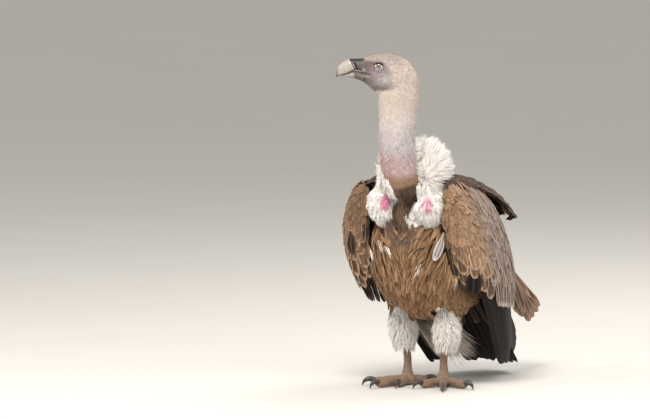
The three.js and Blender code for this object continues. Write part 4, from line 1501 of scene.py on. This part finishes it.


def covert_coat(side):
    """Rows of coverts: broad, warm brown and soft-edged in front, narrow, grey and streaked behind."""
    batches = []
    for row, (start, length, half) in enumerate(COVERT_ROWS):
        low = smooth(0.15, 0.5, start)
        last = row == len(COVERT_ROWS) - 1
        for is_front in (True, False) if row % 2 == 0 else (True,):
            wide = half if is_front else 4.0 + 2.4 * low
            apart, first, end = (1.25, 0.0, 0.52) if is_front else (1.15, 0.42, 1.0)
            t = spaced(COVERTS, max(start, 0), wide * apart, first, end)
            n = len(t)
            t = np.clip(t + rng.normal(0, 0.005, n), 0, 1)
            keep = t < 0.47 + rng.normal(0, 0.03, n) if is_front else t > 0.45 + rng.normal(0, 0.03, n)
            t = t[keep]
            n = len(t)
            s = start + rng.normal(0, 0.012, n)
            long = length * between(0.85, 1.2, n) * (1.0 if is_front else 2.1 - 0.5 * low)
            long = np.minimum(long, (1.0 - s) * COVERTS.length(t) * between(0.97, 1.02, n))
            turn = rng.normal(0.0, 0.012, n)
            places, normals = on_fan(COVERTS, s, t, long, 7, SIDES[side], turn)
            warm = 1 - smooth(0.34, 0.5, t)
            brown = varied(FRONT_COVERT, COVERT_DARK, 0, 0.62, n)
            faded = between(0.0, 0.3, n) * (0.4 + 0.6 * low) + 0.3 * smooth(0.12, 0.4, t)
            brown = mix(brown, COVERT_FRINGE, faded)
            # painted shadow: a dark line down the wing's leading edge, where it meets the breast
            edge = (1 - smooth(0.02, 0.07, t)) * smooth(0.12, 0.3, s)
            brown = mix(brown, QUILL_DARK, 0.9 * edge)
            grey = varied(REAR_COVERT, COVERT_DARK, 0, 0.38, n)
            # painted shade on the right wing's coverts
            paint = mix(mix(grey, brown, warm), COVERT_DARK, SHADE[side])
            fringe = varied(REAR_STREAK, REAR_COVERT, 0, 0.5, n)
            fringe = mix(fringe, varied(COVERT_FRINGE, FRONT_COVERT, 0, 0.4, n), warm)
            rim = (between(0.0, 0.35, n) + between(0.25, 0.65, n) * low) * (1 - edge)
            if not is_front:
                rim = between(0.1, 0.5, n)
            if row >= len(COVERT_ROWS) - 2:
                paint = mix(paint, COVERT_DARK, between(0.5, 0.95, n) if last else between(0.1, 0.5, n))
                rim = between(0.6, 1.0, n)
            halves = wide * between(0.85, 1.2, n)
            shape, shafts = (ROUND, (0.0, 0.35)) if is_front else (STRAP, (0.6, 1.0))
            batches.append(
                vanes(places, normals, halves, shape, paint, fringe, rim=rim, shaft=between(*shafts, n),
                      sink=4.0, lift=between(0.3, 3.0 + 1.5 * low, n), cup=0.2, ragged=0.07)
            )
    return batches


def quill_batch(fan, count, half, reach, mirror, paint, fringe, rim, order=1, tilt=0.16,
                t_range=(0.04, 0.96), start=0.0, layer=0.9, rows=11, shape=QUILL):
    """Long flight feathers down a fan, each tilted a little so that its edge goes under the next one's."""
    t = np.linspace(*t_range, count)
    n = len(t)
    s = np.full(n, start)
    long = fan.length(t) * (reach - start) * between(0.95, 1.0, n)
    places, normals = on_fan(fan, s, t, long, rows, mirror)
    ahead = unit(np.gradient(places, axis=1))
    side = unit(np.cross(ahead, normals))
    normals = unit(normals + side * tilt * order * mirror)
    places = places + normals * (layer * (np.arange(n) % 3 - 1))[:, None, None]
    strips = np.stack([(np.arange(n) + 0.5) / n, np.full(n, 0.5)], -1)
    points, faces, values, _ = vanes(places, normals, spread(half, n), shape, spread(paint, n),
                                     spread(fringe, n), rim=rim, shaft=0.4, sink=1.5, lift=0.6, cup=0.10,
                                     thick=0.8, columns=7, ragged=0.03)
    ring = len(points) // (n * rows)
    across = values["across"].reshape(n, rows, ring) * 0.45 / n
    uv = strips[:, None, None] + np.stack([across, (values["along"].reshape(n, rows, ring) - 0.5) * 0.98], -1)
    return points, faces, values, uv.reshape(-1, 2)


PRIMARY_COUNT, SECONDARY_COUNT = 8, 12  # the feathers that show on a folded wing
TERTIAL_COUNT = 9  # in each of two layers
TAIL_COUNT, TAIL_COVERS = 12, 9


def wing_quills(side):
    """The black primaries and secondaries of a folded wing, each with a faint paler edge."""
    mirror = SIDES[side]
    dark = lambda n: varied(QUILL_DARK, QUILL_GREY, 0, 0.7, n)
    edge = colour(58, 48, 41)
    primaries = quill_batch(PRIMARIES, PRIMARY_COUNT, 13, 1.0, mirror, dark(PRIMARY_COUNT), edge, 0.2)
    secondaries = quill_batch(SECONDARIES, SECONDARY_COUNT, 15, 1.0, mirror, dark(SECONDARY_COUNT), edge, 0.3)
    return primaries, secondaries


def tertial_coat(side):
    """The inner feathers that stand out behind the folded wing: reddish brown with pale edges."""
    mirror, count = SIDES[side], TERTIAL_COUNT
    half, paint = between(17, 21, count), varied(BUSTLE, QUILL_GREY, 0, 0.5, count)
    inner = quill_batch(TERTIALS, count, half, 1.03, mirror, paint, BUSTLE_EDGE, 0.5, t_range=(0.0, 1.0),
                        start=0.22, shape=BROAD)
    paint = varied(BUSTLE, COVERT_DARK, 0, 0.5, count)
    over = quill_batch(TERTIALS, count, 14, 0.86, mirror, paint, BUSTLE_EDGE, 0.75, layer=2.0,
                       t_range=(0.05, 0.95), start=0.16, rows=9, shape=BROAD)
    return [inner, over]


def scapular_coat(side):
    """Rows of broad dark feathers over the wing's base, the longest behind."""
    batches = []
    for start in np.arange(-0.05, 0.9, 0.07):
        t = spaced(SCAPULARS, max(start, 0), 10, 0.0, 1.0)
        n = len(t)
        s = start + rng.normal(0, 0.02, n)
        room = (1.03 - s) * SCAPULARS.length(t) * between(0.9, 1.04, n)
        long = np.minimum(between(42, 60, n) + 45 * max(start, 0), room)
        places, normals = on_fan(SCAPULARS, s, t, long, 8, SIDES[side], rng.normal(0, 0.03, n))
        paint = varied(BACK_BROWN, COVERT_DARK, 0, 1.0, n)
        fringe = varied(BACK_FRINGE, BREAST_PALE, 0, 0.3, n)
        batches.append(
            vanes(places, normals, between(8, 13, n), ROUND, paint, fringe, rim=between(0.05, 0.6, n),
                  shaft=between(0, 0.25, n), sink=4.5, lift=between(0.5, 5.0, n), cup=0.22, ragged=0.07)
        )
    return batches


def tail_coat():
    """The tail's dark feathers, and the brown ones over their roots."""
    paint, edge = varied(QUILL_DARK, QUILL_GREY, 0, 0.5, TAIL_COUNT), colour(84, 72, 62)
    feathers = quill_batch(TAIL, TAIL_COUNT, 13.5, 1.0, 1, paint, edge, 0.3, order=-1, tilt=0.05)
    paint = varied(BACK_BROWN, COVERT_DARK, 0, 0.8, TAIL_COVERS)
    covers = quill_batch(TAIL, TAIL_COVERS, 15, 0.5, 1, paint, BACK_FRINGE, 0.6, layer=2.4,
                         t_range=(0.1, 0.9), rows=8)
    return [feathers, covers]


# ---------------------------------------------------------------- coat: single feathers and spots of down
LOOSE = [  # root, tip, half width, colour, rim colour, rim: feathers that lie out of their rows
    ((152, -60, 286), (128, -30, 206), 18, colour(38, 31, 28), colour(70, 60, 54), 0.5),
    ((90, -84, 350), (72, -100, 290), 9.5, colour(176, 166, 160), colour(216, 208, 202), 0.8),
    ((-132, -98, 350), (-137, -78, 292), 11, colour(52, 42, 36), colour(110, 90, 74), 0.4),
]
SPOTS = [(-88, -88, 300), (-36, -108, 306), (37, -104, 272), (98, -50, 240), (-60, -104, 318)]
SPOT_WISPS = 26


def loose_feathers(form):
    """A few single feathers that stand out from the others."""
    batches = []
    for root, tip, half, paint, fringe, rim in LOOSE:
        root, tip = np.array([root], float), np.array([tip], float)
        length = np.linalg.norm(tip - root, axis=1)
        places, normals = laid_on(form, root, unit(tip - root), length, 12)
        places = places + normals * 6.5
        batches.append(vanes(places, normals, float(half), BROAD, paint, fringe, rim=rim, shaft=0.45,
                             sink=6.0, lift=2.0, columns=9, ragged=0.02))
    return batches


def down_spots(form):
    """White down that shows between the breast feathers."""
    centres = np.repeat(np.array(SPOTS, float), SPOT_WISPS, axis=0)
    along = body_flow(centres) * rng.normal(0, 5.5, (len(centres), 1))
    roots, normal = form.nearest(centres + along + rng.normal(0, 2.0, centres.shape))
    n = len(roots)
    ways = swayed(body_flow(roots) + normal * 0.3, 0.12)
    lengths, widths = between(10, 17, n), between(0.6, 1.0, n)
    tip = varied(RUFF_CREAM, PLUME_GREY, 0, 1, n)
    return strands(roots + normal * 1.5, ways, -normal * 0.2, lengths, widths, RUFF_BASE, tip, rows=3)


# ---------------------------------------------------------------- coat: down
def lying(normal, want, stand):
    """The way along the surface that is nearest to the wanted one, raised from it by a share."""
    along = unit(want - (want * normal).sum(1, keepdims=True) * normal)
    return unit(along + normal * np.asarray(stand)[..., None])


def around_neck(points):
    """Each point's angle round the neck's middle, in degrees from behind towards the left."""
    centres = np.array(NECK_CENTRES, float)
    middle = [np.interp(points[:, 2], centres[:, 2], centres[:, i]) for i in (0, 1)]
    return np.degrees(np.arctan2(points[:, 0] - middle[0], points[:, 1] - middle[1]))


RUFF_FAN = np.array([2.0, -152.0, 470.0])  # before the neck: the ruff's down leads away from it
RUFF_SPIKE = np.array([40.0, -30.0, 512.0])  # where the ruff ends in a point


def ruff_down(form):
    """A full, smooth ruff round the back of the neck's base: its down fans out and back from the neck."""
    roots = grown_on(form, node_mesh("ruff"), 1.8, open_for=12, slack=4)
    n = len(roots)
    _, normal = form.nearest(roots)
    front = smooth(-92, -112, roots[:, 1]) * smooth(470, 455, roots[:, 2])
    want = mix(unit((roots - RUFF_FAN) * [1, 1, 1.7]), np.array([0, 0.1, -1.0]), front)
    ways = lying(normal, swayed(want, 0.06), between(0.12, 0.36, n))
    lengths = between(20, 33, n) + 6 * (rng.random(n) < 0.12) + 8 * smooth(468, 446, roots[:, 2])
    spike = np.exp(-((np.linalg.norm(roots - RUFF_SPIKE, axis=1) / 16) ** 2)) * (rng.random(n) < 0.5)
    ways = unit(ways + spike[:, None] * [0.35, 0.2, 0.8])
    lengths = lengths + 12 * spike
    lengths = lengths * (1 - 0.5 * smooth(-20, -50, roots[:, 0]) * smooth(486, 466, roots[:, 2]))
    roots = roots - normal * between(4, 7, n)[:, None]
    ways = clumped(roots, ways, lengths, 6.0, 0.35)
    bends = np.tile([0, 0, -0.05], (n, 1)) + rng.normal(0, 0.04, (n, 3))
    base, tip = varied(RUFF_CREAM, WHITE_DOWN, 0, 1, n), varied(WHITE_DOWN, RUFF_CREAM, 0, 0.6, n)
    return strands(roots, ways, bends, lengths, between(0.6, 1.1, n), base, tip, rows=3)


# how far round the neck the collar's down reaches on each side: heights, and degrees from behind
COLLAR_LEFT = ([418, 440, 460, 480, 504, 520, 550], [150, 130, 96, 92, 68, 64, 55])
COLLAR_RIGHT = ([418, 446, 455, 477, 498, 506, 550], [184, 184, 172, 150, 130, 106, 58])


def collar_down(form):
    """White down on the sides of the neck's base, from the ruff to the shoulder patches."""
    roots = grown_on(form, node_mesh("neck_lower", "crop"), 1.9, open_for=5, slack=6)
    angle = around_neck(roots)
    z = roots[:, 2]
    reach = np.where(angle > 0, np.interp(z, *COLLAR_LEFT), np.interp(z, *COLLAR_RIGHT))
    edge = np.abs(angle) + rng.normal(0, 2.5, len(z))
    roots = roots[(edge < reach) & ((edge > 40) | (z > 500)) & (z < 550) & (z > 416)]
    roots = roots[on_arm(roots) | (np.abs(around_neck(roots)) < 90)]
    n = len(roots)
    _, normal = form.nearest(roots)
    angle = around_neck(roots)
    z = roots[:, 2]
    above = smooth(458, 484, z) * (angle > 0)
    high = smooth(490, 520, z)
    want = unit(roots - RUFF_FAN) * above[:, None] - UP * (1 - above)[:, None]
    want = swayed(want + np.array([0, 0.9, -0.2]) * high[:, None], 0.1)
    stand = between(0.10, 0.45, n) + between(0.5, 1.1, n) * np.maximum(high, 0.5 * above)
    ways = lying(normal, want, stand)
    lengths = between(9, 15, n) + between(10, 18, n) * np.maximum(high, above)
    roots = roots - normal * 2.5
    ways = clumped(roots, ways, lengths, 6.0, 0.35)
    bends = rng.normal(0, 0.05, (n, 3))
    base, tip = varied(RUFF_CREAM, WHITE_DOWN, 0, 1, n), varied(WHITE_DOWN, RUFF_CREAM, 0, 0.6, n)
    return strands(roots, ways, bends, lengths, between(0.65, 1.1, n), base, tip, rows=3)


ACROSS_VIEW = (0.891, 0.454)  # the photograph's level way across, in x and y
ARM_LEFT, ARM_RIGHT = -76, -20  # the bulge's two sides along it; the left one leans as it goes down
ARM_LEAN = 0.46


def on_arm(points):
    """Whether a point is beside the neck's bulge, where white down comes down to the shoulders."""
    across = ACROSS_VIEW[0] * points[:, 0] + ACROSS_VIEW[1] * points[:, 1]
    return (across < ARM_LEFT - ARM_LEAN * (points[:, 2] - 450)) | (across > ARM_RIGHT)


def pinkness(points, side):
    """How far inside a shoulder's pink place each point is."""
    pink = np.zeros(len(points))
    for sign, (middle, half_sizes) in PINK_SPOTS.items():
        off = np.linalg.norm((points - middle)[:, [0, 2]] / half_sizes, axis=1)
        off = off + rng.normal(0, 0.09, len(points))
        pink = np.where((side == sign) & (points[:, 1] < -95), 1 - smooth(0.85, 1.05, off), pink)
    return pink


LOBE = (np.array([32.0, -122.0, 388.0]), np.array([19.0, 40.0, 26.0]))  # the left patch's reach to the middle


def in_lobe(points, ease=1.0):
    return np.linalg.norm((points - LOBE[0]) / LOBE[1], axis=1) < ease


def patch_down(form):
    """White down over the shoulders, with a pink place in its middle."""
    patches = node_mesh("shoulder_patch_left", "shoulder_patch_right")
    roots = grown_on(form, patches, 1.8, open_for=14, slack=4)
    middle = grown_on(form, node_mesh("crop", "trunk"), 1.8, open_for=6, slack=4)
    roots = np.concatenate([roots[on_arm(roots) | (roots[:, 2] < 418)], middle[in_lobe(middle)]])
    n = len(roots)
    _, normal = form.nearest(roots)
    side = np.sign(roots[:, 0])
    fan = np.stack([side * 44, np.full(n, -96.0), np.full(n, 470.0)], -1)
    ways = lying(normal, swayed(roots - fan, 0.12), between(0.06, 0.30, n))
    lengths = between(9, 15, n)
    pink = pinkness(roots, side)
    over = pinkness(roots + ways * lengths[:, None], side)
    lengths = lengths * (1 - 0.55 * np.maximum(pink, over))
    roots = roots - normal * (3 - 1.5 * pink)[:, None]
    ways = mix(clumped(roots, ways, lengths, 6.0, 0.35), ways, pink)
    base = mix(varied(RUFF_CREAM, WHITE_DOWN, 0.3, 1, n), PINK, pink)
    tip = mix(np.tile(WHITE_DOWN, (n, 1)), mix(PINK, WHITE_DOWN, 0.12), pink)
    bends = np.tile([0, 0, -0.1], (n, 1)) + rng.normal(0, 0.06, (n, 3))
    return strands(roots, ways, bends, lengths + 2, between(0.65, 1.05, n), base, tip, rows=3)


def sock_down(form):
    """The white down of the legs, in short thick puffs."""
    names = [f"leg_{side}_{part}" for side in SIDES for part in ("sock", "thigh")]
    roots = grown_on(form, node_mesh(*names), 1.9, open_for=10, slack=6)
    roots = roots[on_sock(roots, 2.0) | (roots[:, 2] > SOCK_LOW) & (roots[:, 2] < 158)]
    roots = roots[np.abs(form.nearest(roots)[1][:, 2]) < 0.6]
    n = len(roots)
    _, normal = form.nearest(roots)
    ways = lying(normal, swayed(np.tile([0, 0, -1.0], (n, 1)), 0.26), between(0.25, 0.8, n))
    lengths = between(9, 16, n)
    roots = roots - normal * 3.5
    ways = clumped(roots, ways, lengths, 9.0, 0.45)
    bends = np.tile([0, 0, -0.15], (n, 1)) + rng.normal(0, 0.08, (n, 3))
    base, tip = varied(RUFF_CREAM, WHITE_DOWN, 0, 0.8, n), varied(WHITE_DOWN, RUFF_CREAM, 0, 0.5, n)
    return strands(roots, ways, bends, lengths, between(0.7, 1.15, n), base, tip, rows=3)


def head_down(head):
    """Short down on the head and neck, thickest on the crown and nape, nearly none on the bare face."""
    neck = scattered((head.points, head.faces), 2.0, 3.0)
    f, _, z = head_frame(neck)
    bare = (f > 2) & (z > 652) | (eye_distance(f, z) < 17) | (f > 34)
    cheek = (f > -24 + (z - 700) * 0.5) & (z > 655) & (z < 726)
    keep = ~bare & ~(cheek & (rng.random(len(neck)) < 0.75))
    keep &= rng.random(len(neck)) > 0.5 * (1 - smooth(480, 580, z))
    crown = (z > 727) & (f < 36)
    low_z = 1 - smooth(540, 640, neck[:, 2])
    bare_share = low_z * (0.42 + 0.25 * smooth(-60, -20, f))
    keep &= rng.random(len(neck))[tufts_of(neck, 4.6)] > bare_share
    keep &= z > 456 + 0.008 * neck[:, 0] ** 2
    roots = neck[keep | (crown & (rng.random(len(neck)) < 0.9))]
    n = len(roots)
    f, _, z = head_frame(roots)
    here, normal = head.nearest(roots)
    fall = 1.15 - smooth(650, 720, z)
    back = unit(-FORWARD * (1.3 * smooth(640, 690, z))[:, None] - UP * fall[:, None])
    tangent = unit(back - (back * normal).sum(1, keepdims=True) * normal)
    low = 1 - smooth(500, 640, z)
    rear = smooth(-0.2, 0.7, -(normal @ FORWARD)) * low
    stand = 0.22 + (0.4 * low + 0.2 * rng.random(n) + 0.6 * rear) * smooth(468, 500, z)
    ways = swayed(tangent + normal * stand[:, None], 0.18 + 0.12 * low[:, None])
    lengths = between(4.0, 6.5, n)
    lengths = lengths + (between(1.0, 4.5, n) * low + between(0, 4.0, n) * rear) * smooth(468, 500, z)
    bends = -normal * 0.12 + rng.normal(0, 0.06, (n, 3))
    ways = mix(ways, clumped(here, ways, lengths, 4.5, 0.6), 0.9 * low)
    skin_tint = head_markings(roots)
    white = mix(CREAM, WHITE_DOWN, 0.08 + 0.8 * smooth(690, 600, z))
    fleck = between(0.0, 1.0, n)[tufts_of(roots, 3.4)] ** 0.8
    share = between(0.3, 0.7, n) * (1 - low) + (0.15 + 0.85 * fleck) * low * smooth(458, 486, z)
    tip = mix(skin_tint, white, share)
    skin_tint = mix(skin_tint, white, 0.6 * share * low)
    widths = between(0.38, 0.6, n) + 0.18 * low
    return strands(here - normal * 0.4, ways, bends, lengths, widths, skin_tint, tip, rows=2)


PLUME_COUNT = 900


def tail_plumes():
    """Long loose grey plumes under the tail, hanging back between the legs."""
    n = PLUME_COUNT
    t = rng.random(n)
    x = -56 + 62 * t + rng.normal(0, 3, n)
    roots = np.stack([x, between(52, 100, n), between(132, 168, n)], -1)
    ways = swayed(np.stack([0.30 + 0 * x, 0.42 + 0 * x, -1 + 0 * x], -1), 0.10)
    bends = np.tile([0.12, 0.2, 0.08], (n, 1)) + rng.normal(0, 0.05, (n, 3))
    base, tip = varied(PLUME_GREY, BACK_BROWN, 0.1, 0.6, n), varied(PLUME_GREY, WHITE_DOWN, 0, 0.5, n)
    return strands(roots, ways, bends, between(64, 124, n), between(0.7, 1.5, n), base, tip, rows=7)


# ---------------------------------------------------------------- studio
VIEW_TURN = math.radians(27)  # the camera's place: from the bird's front towards its left
VIEW_TILT = math.radians(5)
VIEW_DISTANCE = 20.0
IMAGE = (650, 419)  # pixels
PIXEL = 2.2  # millimetres of the bird to a pixel
BIRD_PIXEL = (425, 386)  # where the bird's own origin shows
SENSOR = 36.0
LIT_MIDDLE = (0, 0, 0.38)  # what the lights face


def camera():
    """Looks from the bird's front left, a little down, framed so that the bird's origin is at its pixel."""
    right = Vector((math.cos(VIEW_TURN), math.sin(VIEW_TURN), 0))
    level = math.cos(VIEW_TILT)
    back = Vector((math.sin(VIEW_TURN) * level, -math.cos(VIEW_TURN) * level, math.sin(VIEW_TILT)))
    up = back.cross(right)
    across = (IMAGE[0] / 2 - BIRD_PIXEL[0]) * PIXEL * MM
    above = (BIRD_PIXEL[1] - IMAGE[1] / 2) * PIXEL * MM
    target = Vector(ORIGIN) + right * across + up * above
    data = bpy.data.cameras.new("camera")
    data.sensor_width = SENSOR
    data.lens = SENSOR * VIEW_DISTANCE / (IMAGE[0] * PIXEL * MM)
    data.clip_end = 200
    made = bpy.data.objects.new("camera", data)
    turn = Matrix((right, up, back)).transposed().to_4x4()
    made.matrix_world = Matrix.Translation(target + back * VIEW_DISTANCE) @ turn
    bpy.context.scene.collection.objects.link(made)
    bpy.context.scene.camera = made


def softbox(name, azimuth, elevation, distance, size, power, tint):
    """An area light that faces the bird's middle from an azimuth (0 is in front) and an elevation."""
    data = bpy.data.lights.new(name, "AREA")
    data.size = size
    data.energy = power
    data.color = tint
    made = bpy.data.objects.new(name, data)
    a, e = math.radians(azimuth), math.radians(elevation)
    way = Vector((math.sin(a) * math.cos(e), -math.cos(a) * math.cos(e), math.sin(e)))
    made.location = Vector(LIT_MIDDLE) + way * distance
    made.rotation_euler = way.to_track_quat("Z", "Y").to_euler()
    bpy.context.scene.collection.objects.link(made)


LIGHTS = {  # azimuth, elevation, distance, size, power, tint
    "key": (16, 50, 3.2, 0.9, 97, (1.0, 0.97, 0.94)),
    "fill": (70, 22, 3.4, 2.2, 30, (0.97, 0.98, 1.0)),
    "rim": (165, 45, 3.4, 1.8, 58, (1.0, 0.98, 0.95)),
    "low": (-52, 12, 3.6, 1.6, 46, (1.0, 0.97, 0.94)),
}


def studio():
    for name, settings in LIGHTS.items():
        softbox(name, *settings)
    world_light = bpy.data.worlds.new("studio")
    world_light.use_nodes = True
    background = world_light.node_tree.nodes["Background"]
    background.inputs["Color"].default_value = (0.86, 0.85, 0.83, 1)
    background.inputs["Strength"].default_value = 0.68
    bpy.context.scene.world = world_light
    bpy.context.scene.view_settings.view_transform = "Standard"
    bpy.ops.mesh.primitive_plane_add(size=200)
    floor = bpy.context.object
    floor.name = "floor"
    g = Graph("floor", 0.8)
    cloudy = g.step(g.noise(3.0, 3.0), 0.3, 0.7, 0.0, 0.12)
    g.paint(g.mix(cloudy, colour(214, 210, 203), colour(200, 196, 188)))
    floor.data.materials.append(g.material)


# ---------------------------------------------------------------- the whole bird
camera()
studio()
HORN_FINISH = hard_material("horn", 0.34, 0.35, (1, 1, 0.3))
CERE_FINISH = hard_material("cere", 0.4, 0.3)
CLAW_FINISH = hard_material("claw", 0.3, 0.4, (1, 1, 2))
head_skin = skin()
SKIN_FINISH = bpy.data.materials["skin"]
EYE_FINISH = eye_material()
for side in SIDES:
    finished(eyeball(side), EYE_FINISH, "eye", f"eye_{side}")
    finished(eyelids(side, head_skin), SKIN_FINISH, "head_down")
upper, lower = bill()
finished(upper, HORN_FINISH, "bill_horn", "bill_upper")
finished(lower, HORN_FINISH, "bill_horn", "bill_lower")
finished(cere(), CERE_FINISH, "cere", "cere")
for side in SIDES:
    for finger in TOE_LENGTHS:
        finished(claw(side, finger), CLAW_FINISH, "claw_horn", f"claw_{side}_{finger}")

VANE_FINISH = feather_material("body_feathers")
COVERT_FINISH = feather_material("wing_feathers")
QUILL_FINISH = feather_material("flight_feathers", 0.6)
DOWN_FINISH = down_material("white_down")
HEAD_DOWN_FINISH = down_material("head_down")
form = form_surface()
breast = [breast_coat(form), thigh_coat(form)]
coat_piece("coat_breast", breast, VANE_FINISH, "body_plumage", "leg_left_thigh", "leg_right_thigh")
coat_piece("coat_crop", [crop_coat(form)], VANE_FINISH, "crop_plumage")
coat_piece("coat_back", [back_coat(form)], VANE_FINISH, "back_plumage")
for side in SIDES:
    primaries, secondaries = wing_quills(side)
    wing = f"wing_{side}_"
    coat_piece(f"coverts_{side}", covert_coat(side), COVERT_FINISH, "wing_coverts", wing + "coverts")
    coat_piece(f"primaries_{side}", [primaries], QUILL_FINISH, "flight_feathers", wing + "primaries")
    coat_piece(f"secondaries_{side}", [secondaries], QUILL_FINISH, "flight_feathers", wing + "secondaries")
    coat_piece(f"tertials_{side}", tertial_coat(side), QUILL_FINISH, "tertials", wing + "tertials")
    coat_piece(f"scapulars_{side}", scapular_coat(side), VANE_FINISH, "back_plumage", wing + "scapulars")
coat_piece("tail_feathers", tail_coat(), QUILL_FINISH, "flight_feathers", "tail")
coat_piece("ruff_down", [ruff_down(form), collar_down(form)], DOWN_FINISH, "white_down", "ruff")
patches = [patch_down(form)]
coat_piece("patch_down", patches, DOWN_FINISH, "white_down", "shoulder_patch_left", "shoulder_patch_right")
coat_piece("sock_down", [sock_down(form)], DOWN_FINISH, "white_down", "leg_left_sock", "leg_right_sock")
coat_piece("tail_plumes", [tail_plumes()], DOWN_FINISH, "white_down")
coat_piece("breast_spots", [down_spots(form)], DOWN_FINISH, "white_down")
coat_piece("loose_feathers", loose_feathers(form), COVERT_FINISH, "wing_coverts")
coat_piece("head_down", [head_down(head_skin)], HEAD_DOWN_FINISH, "head_down")
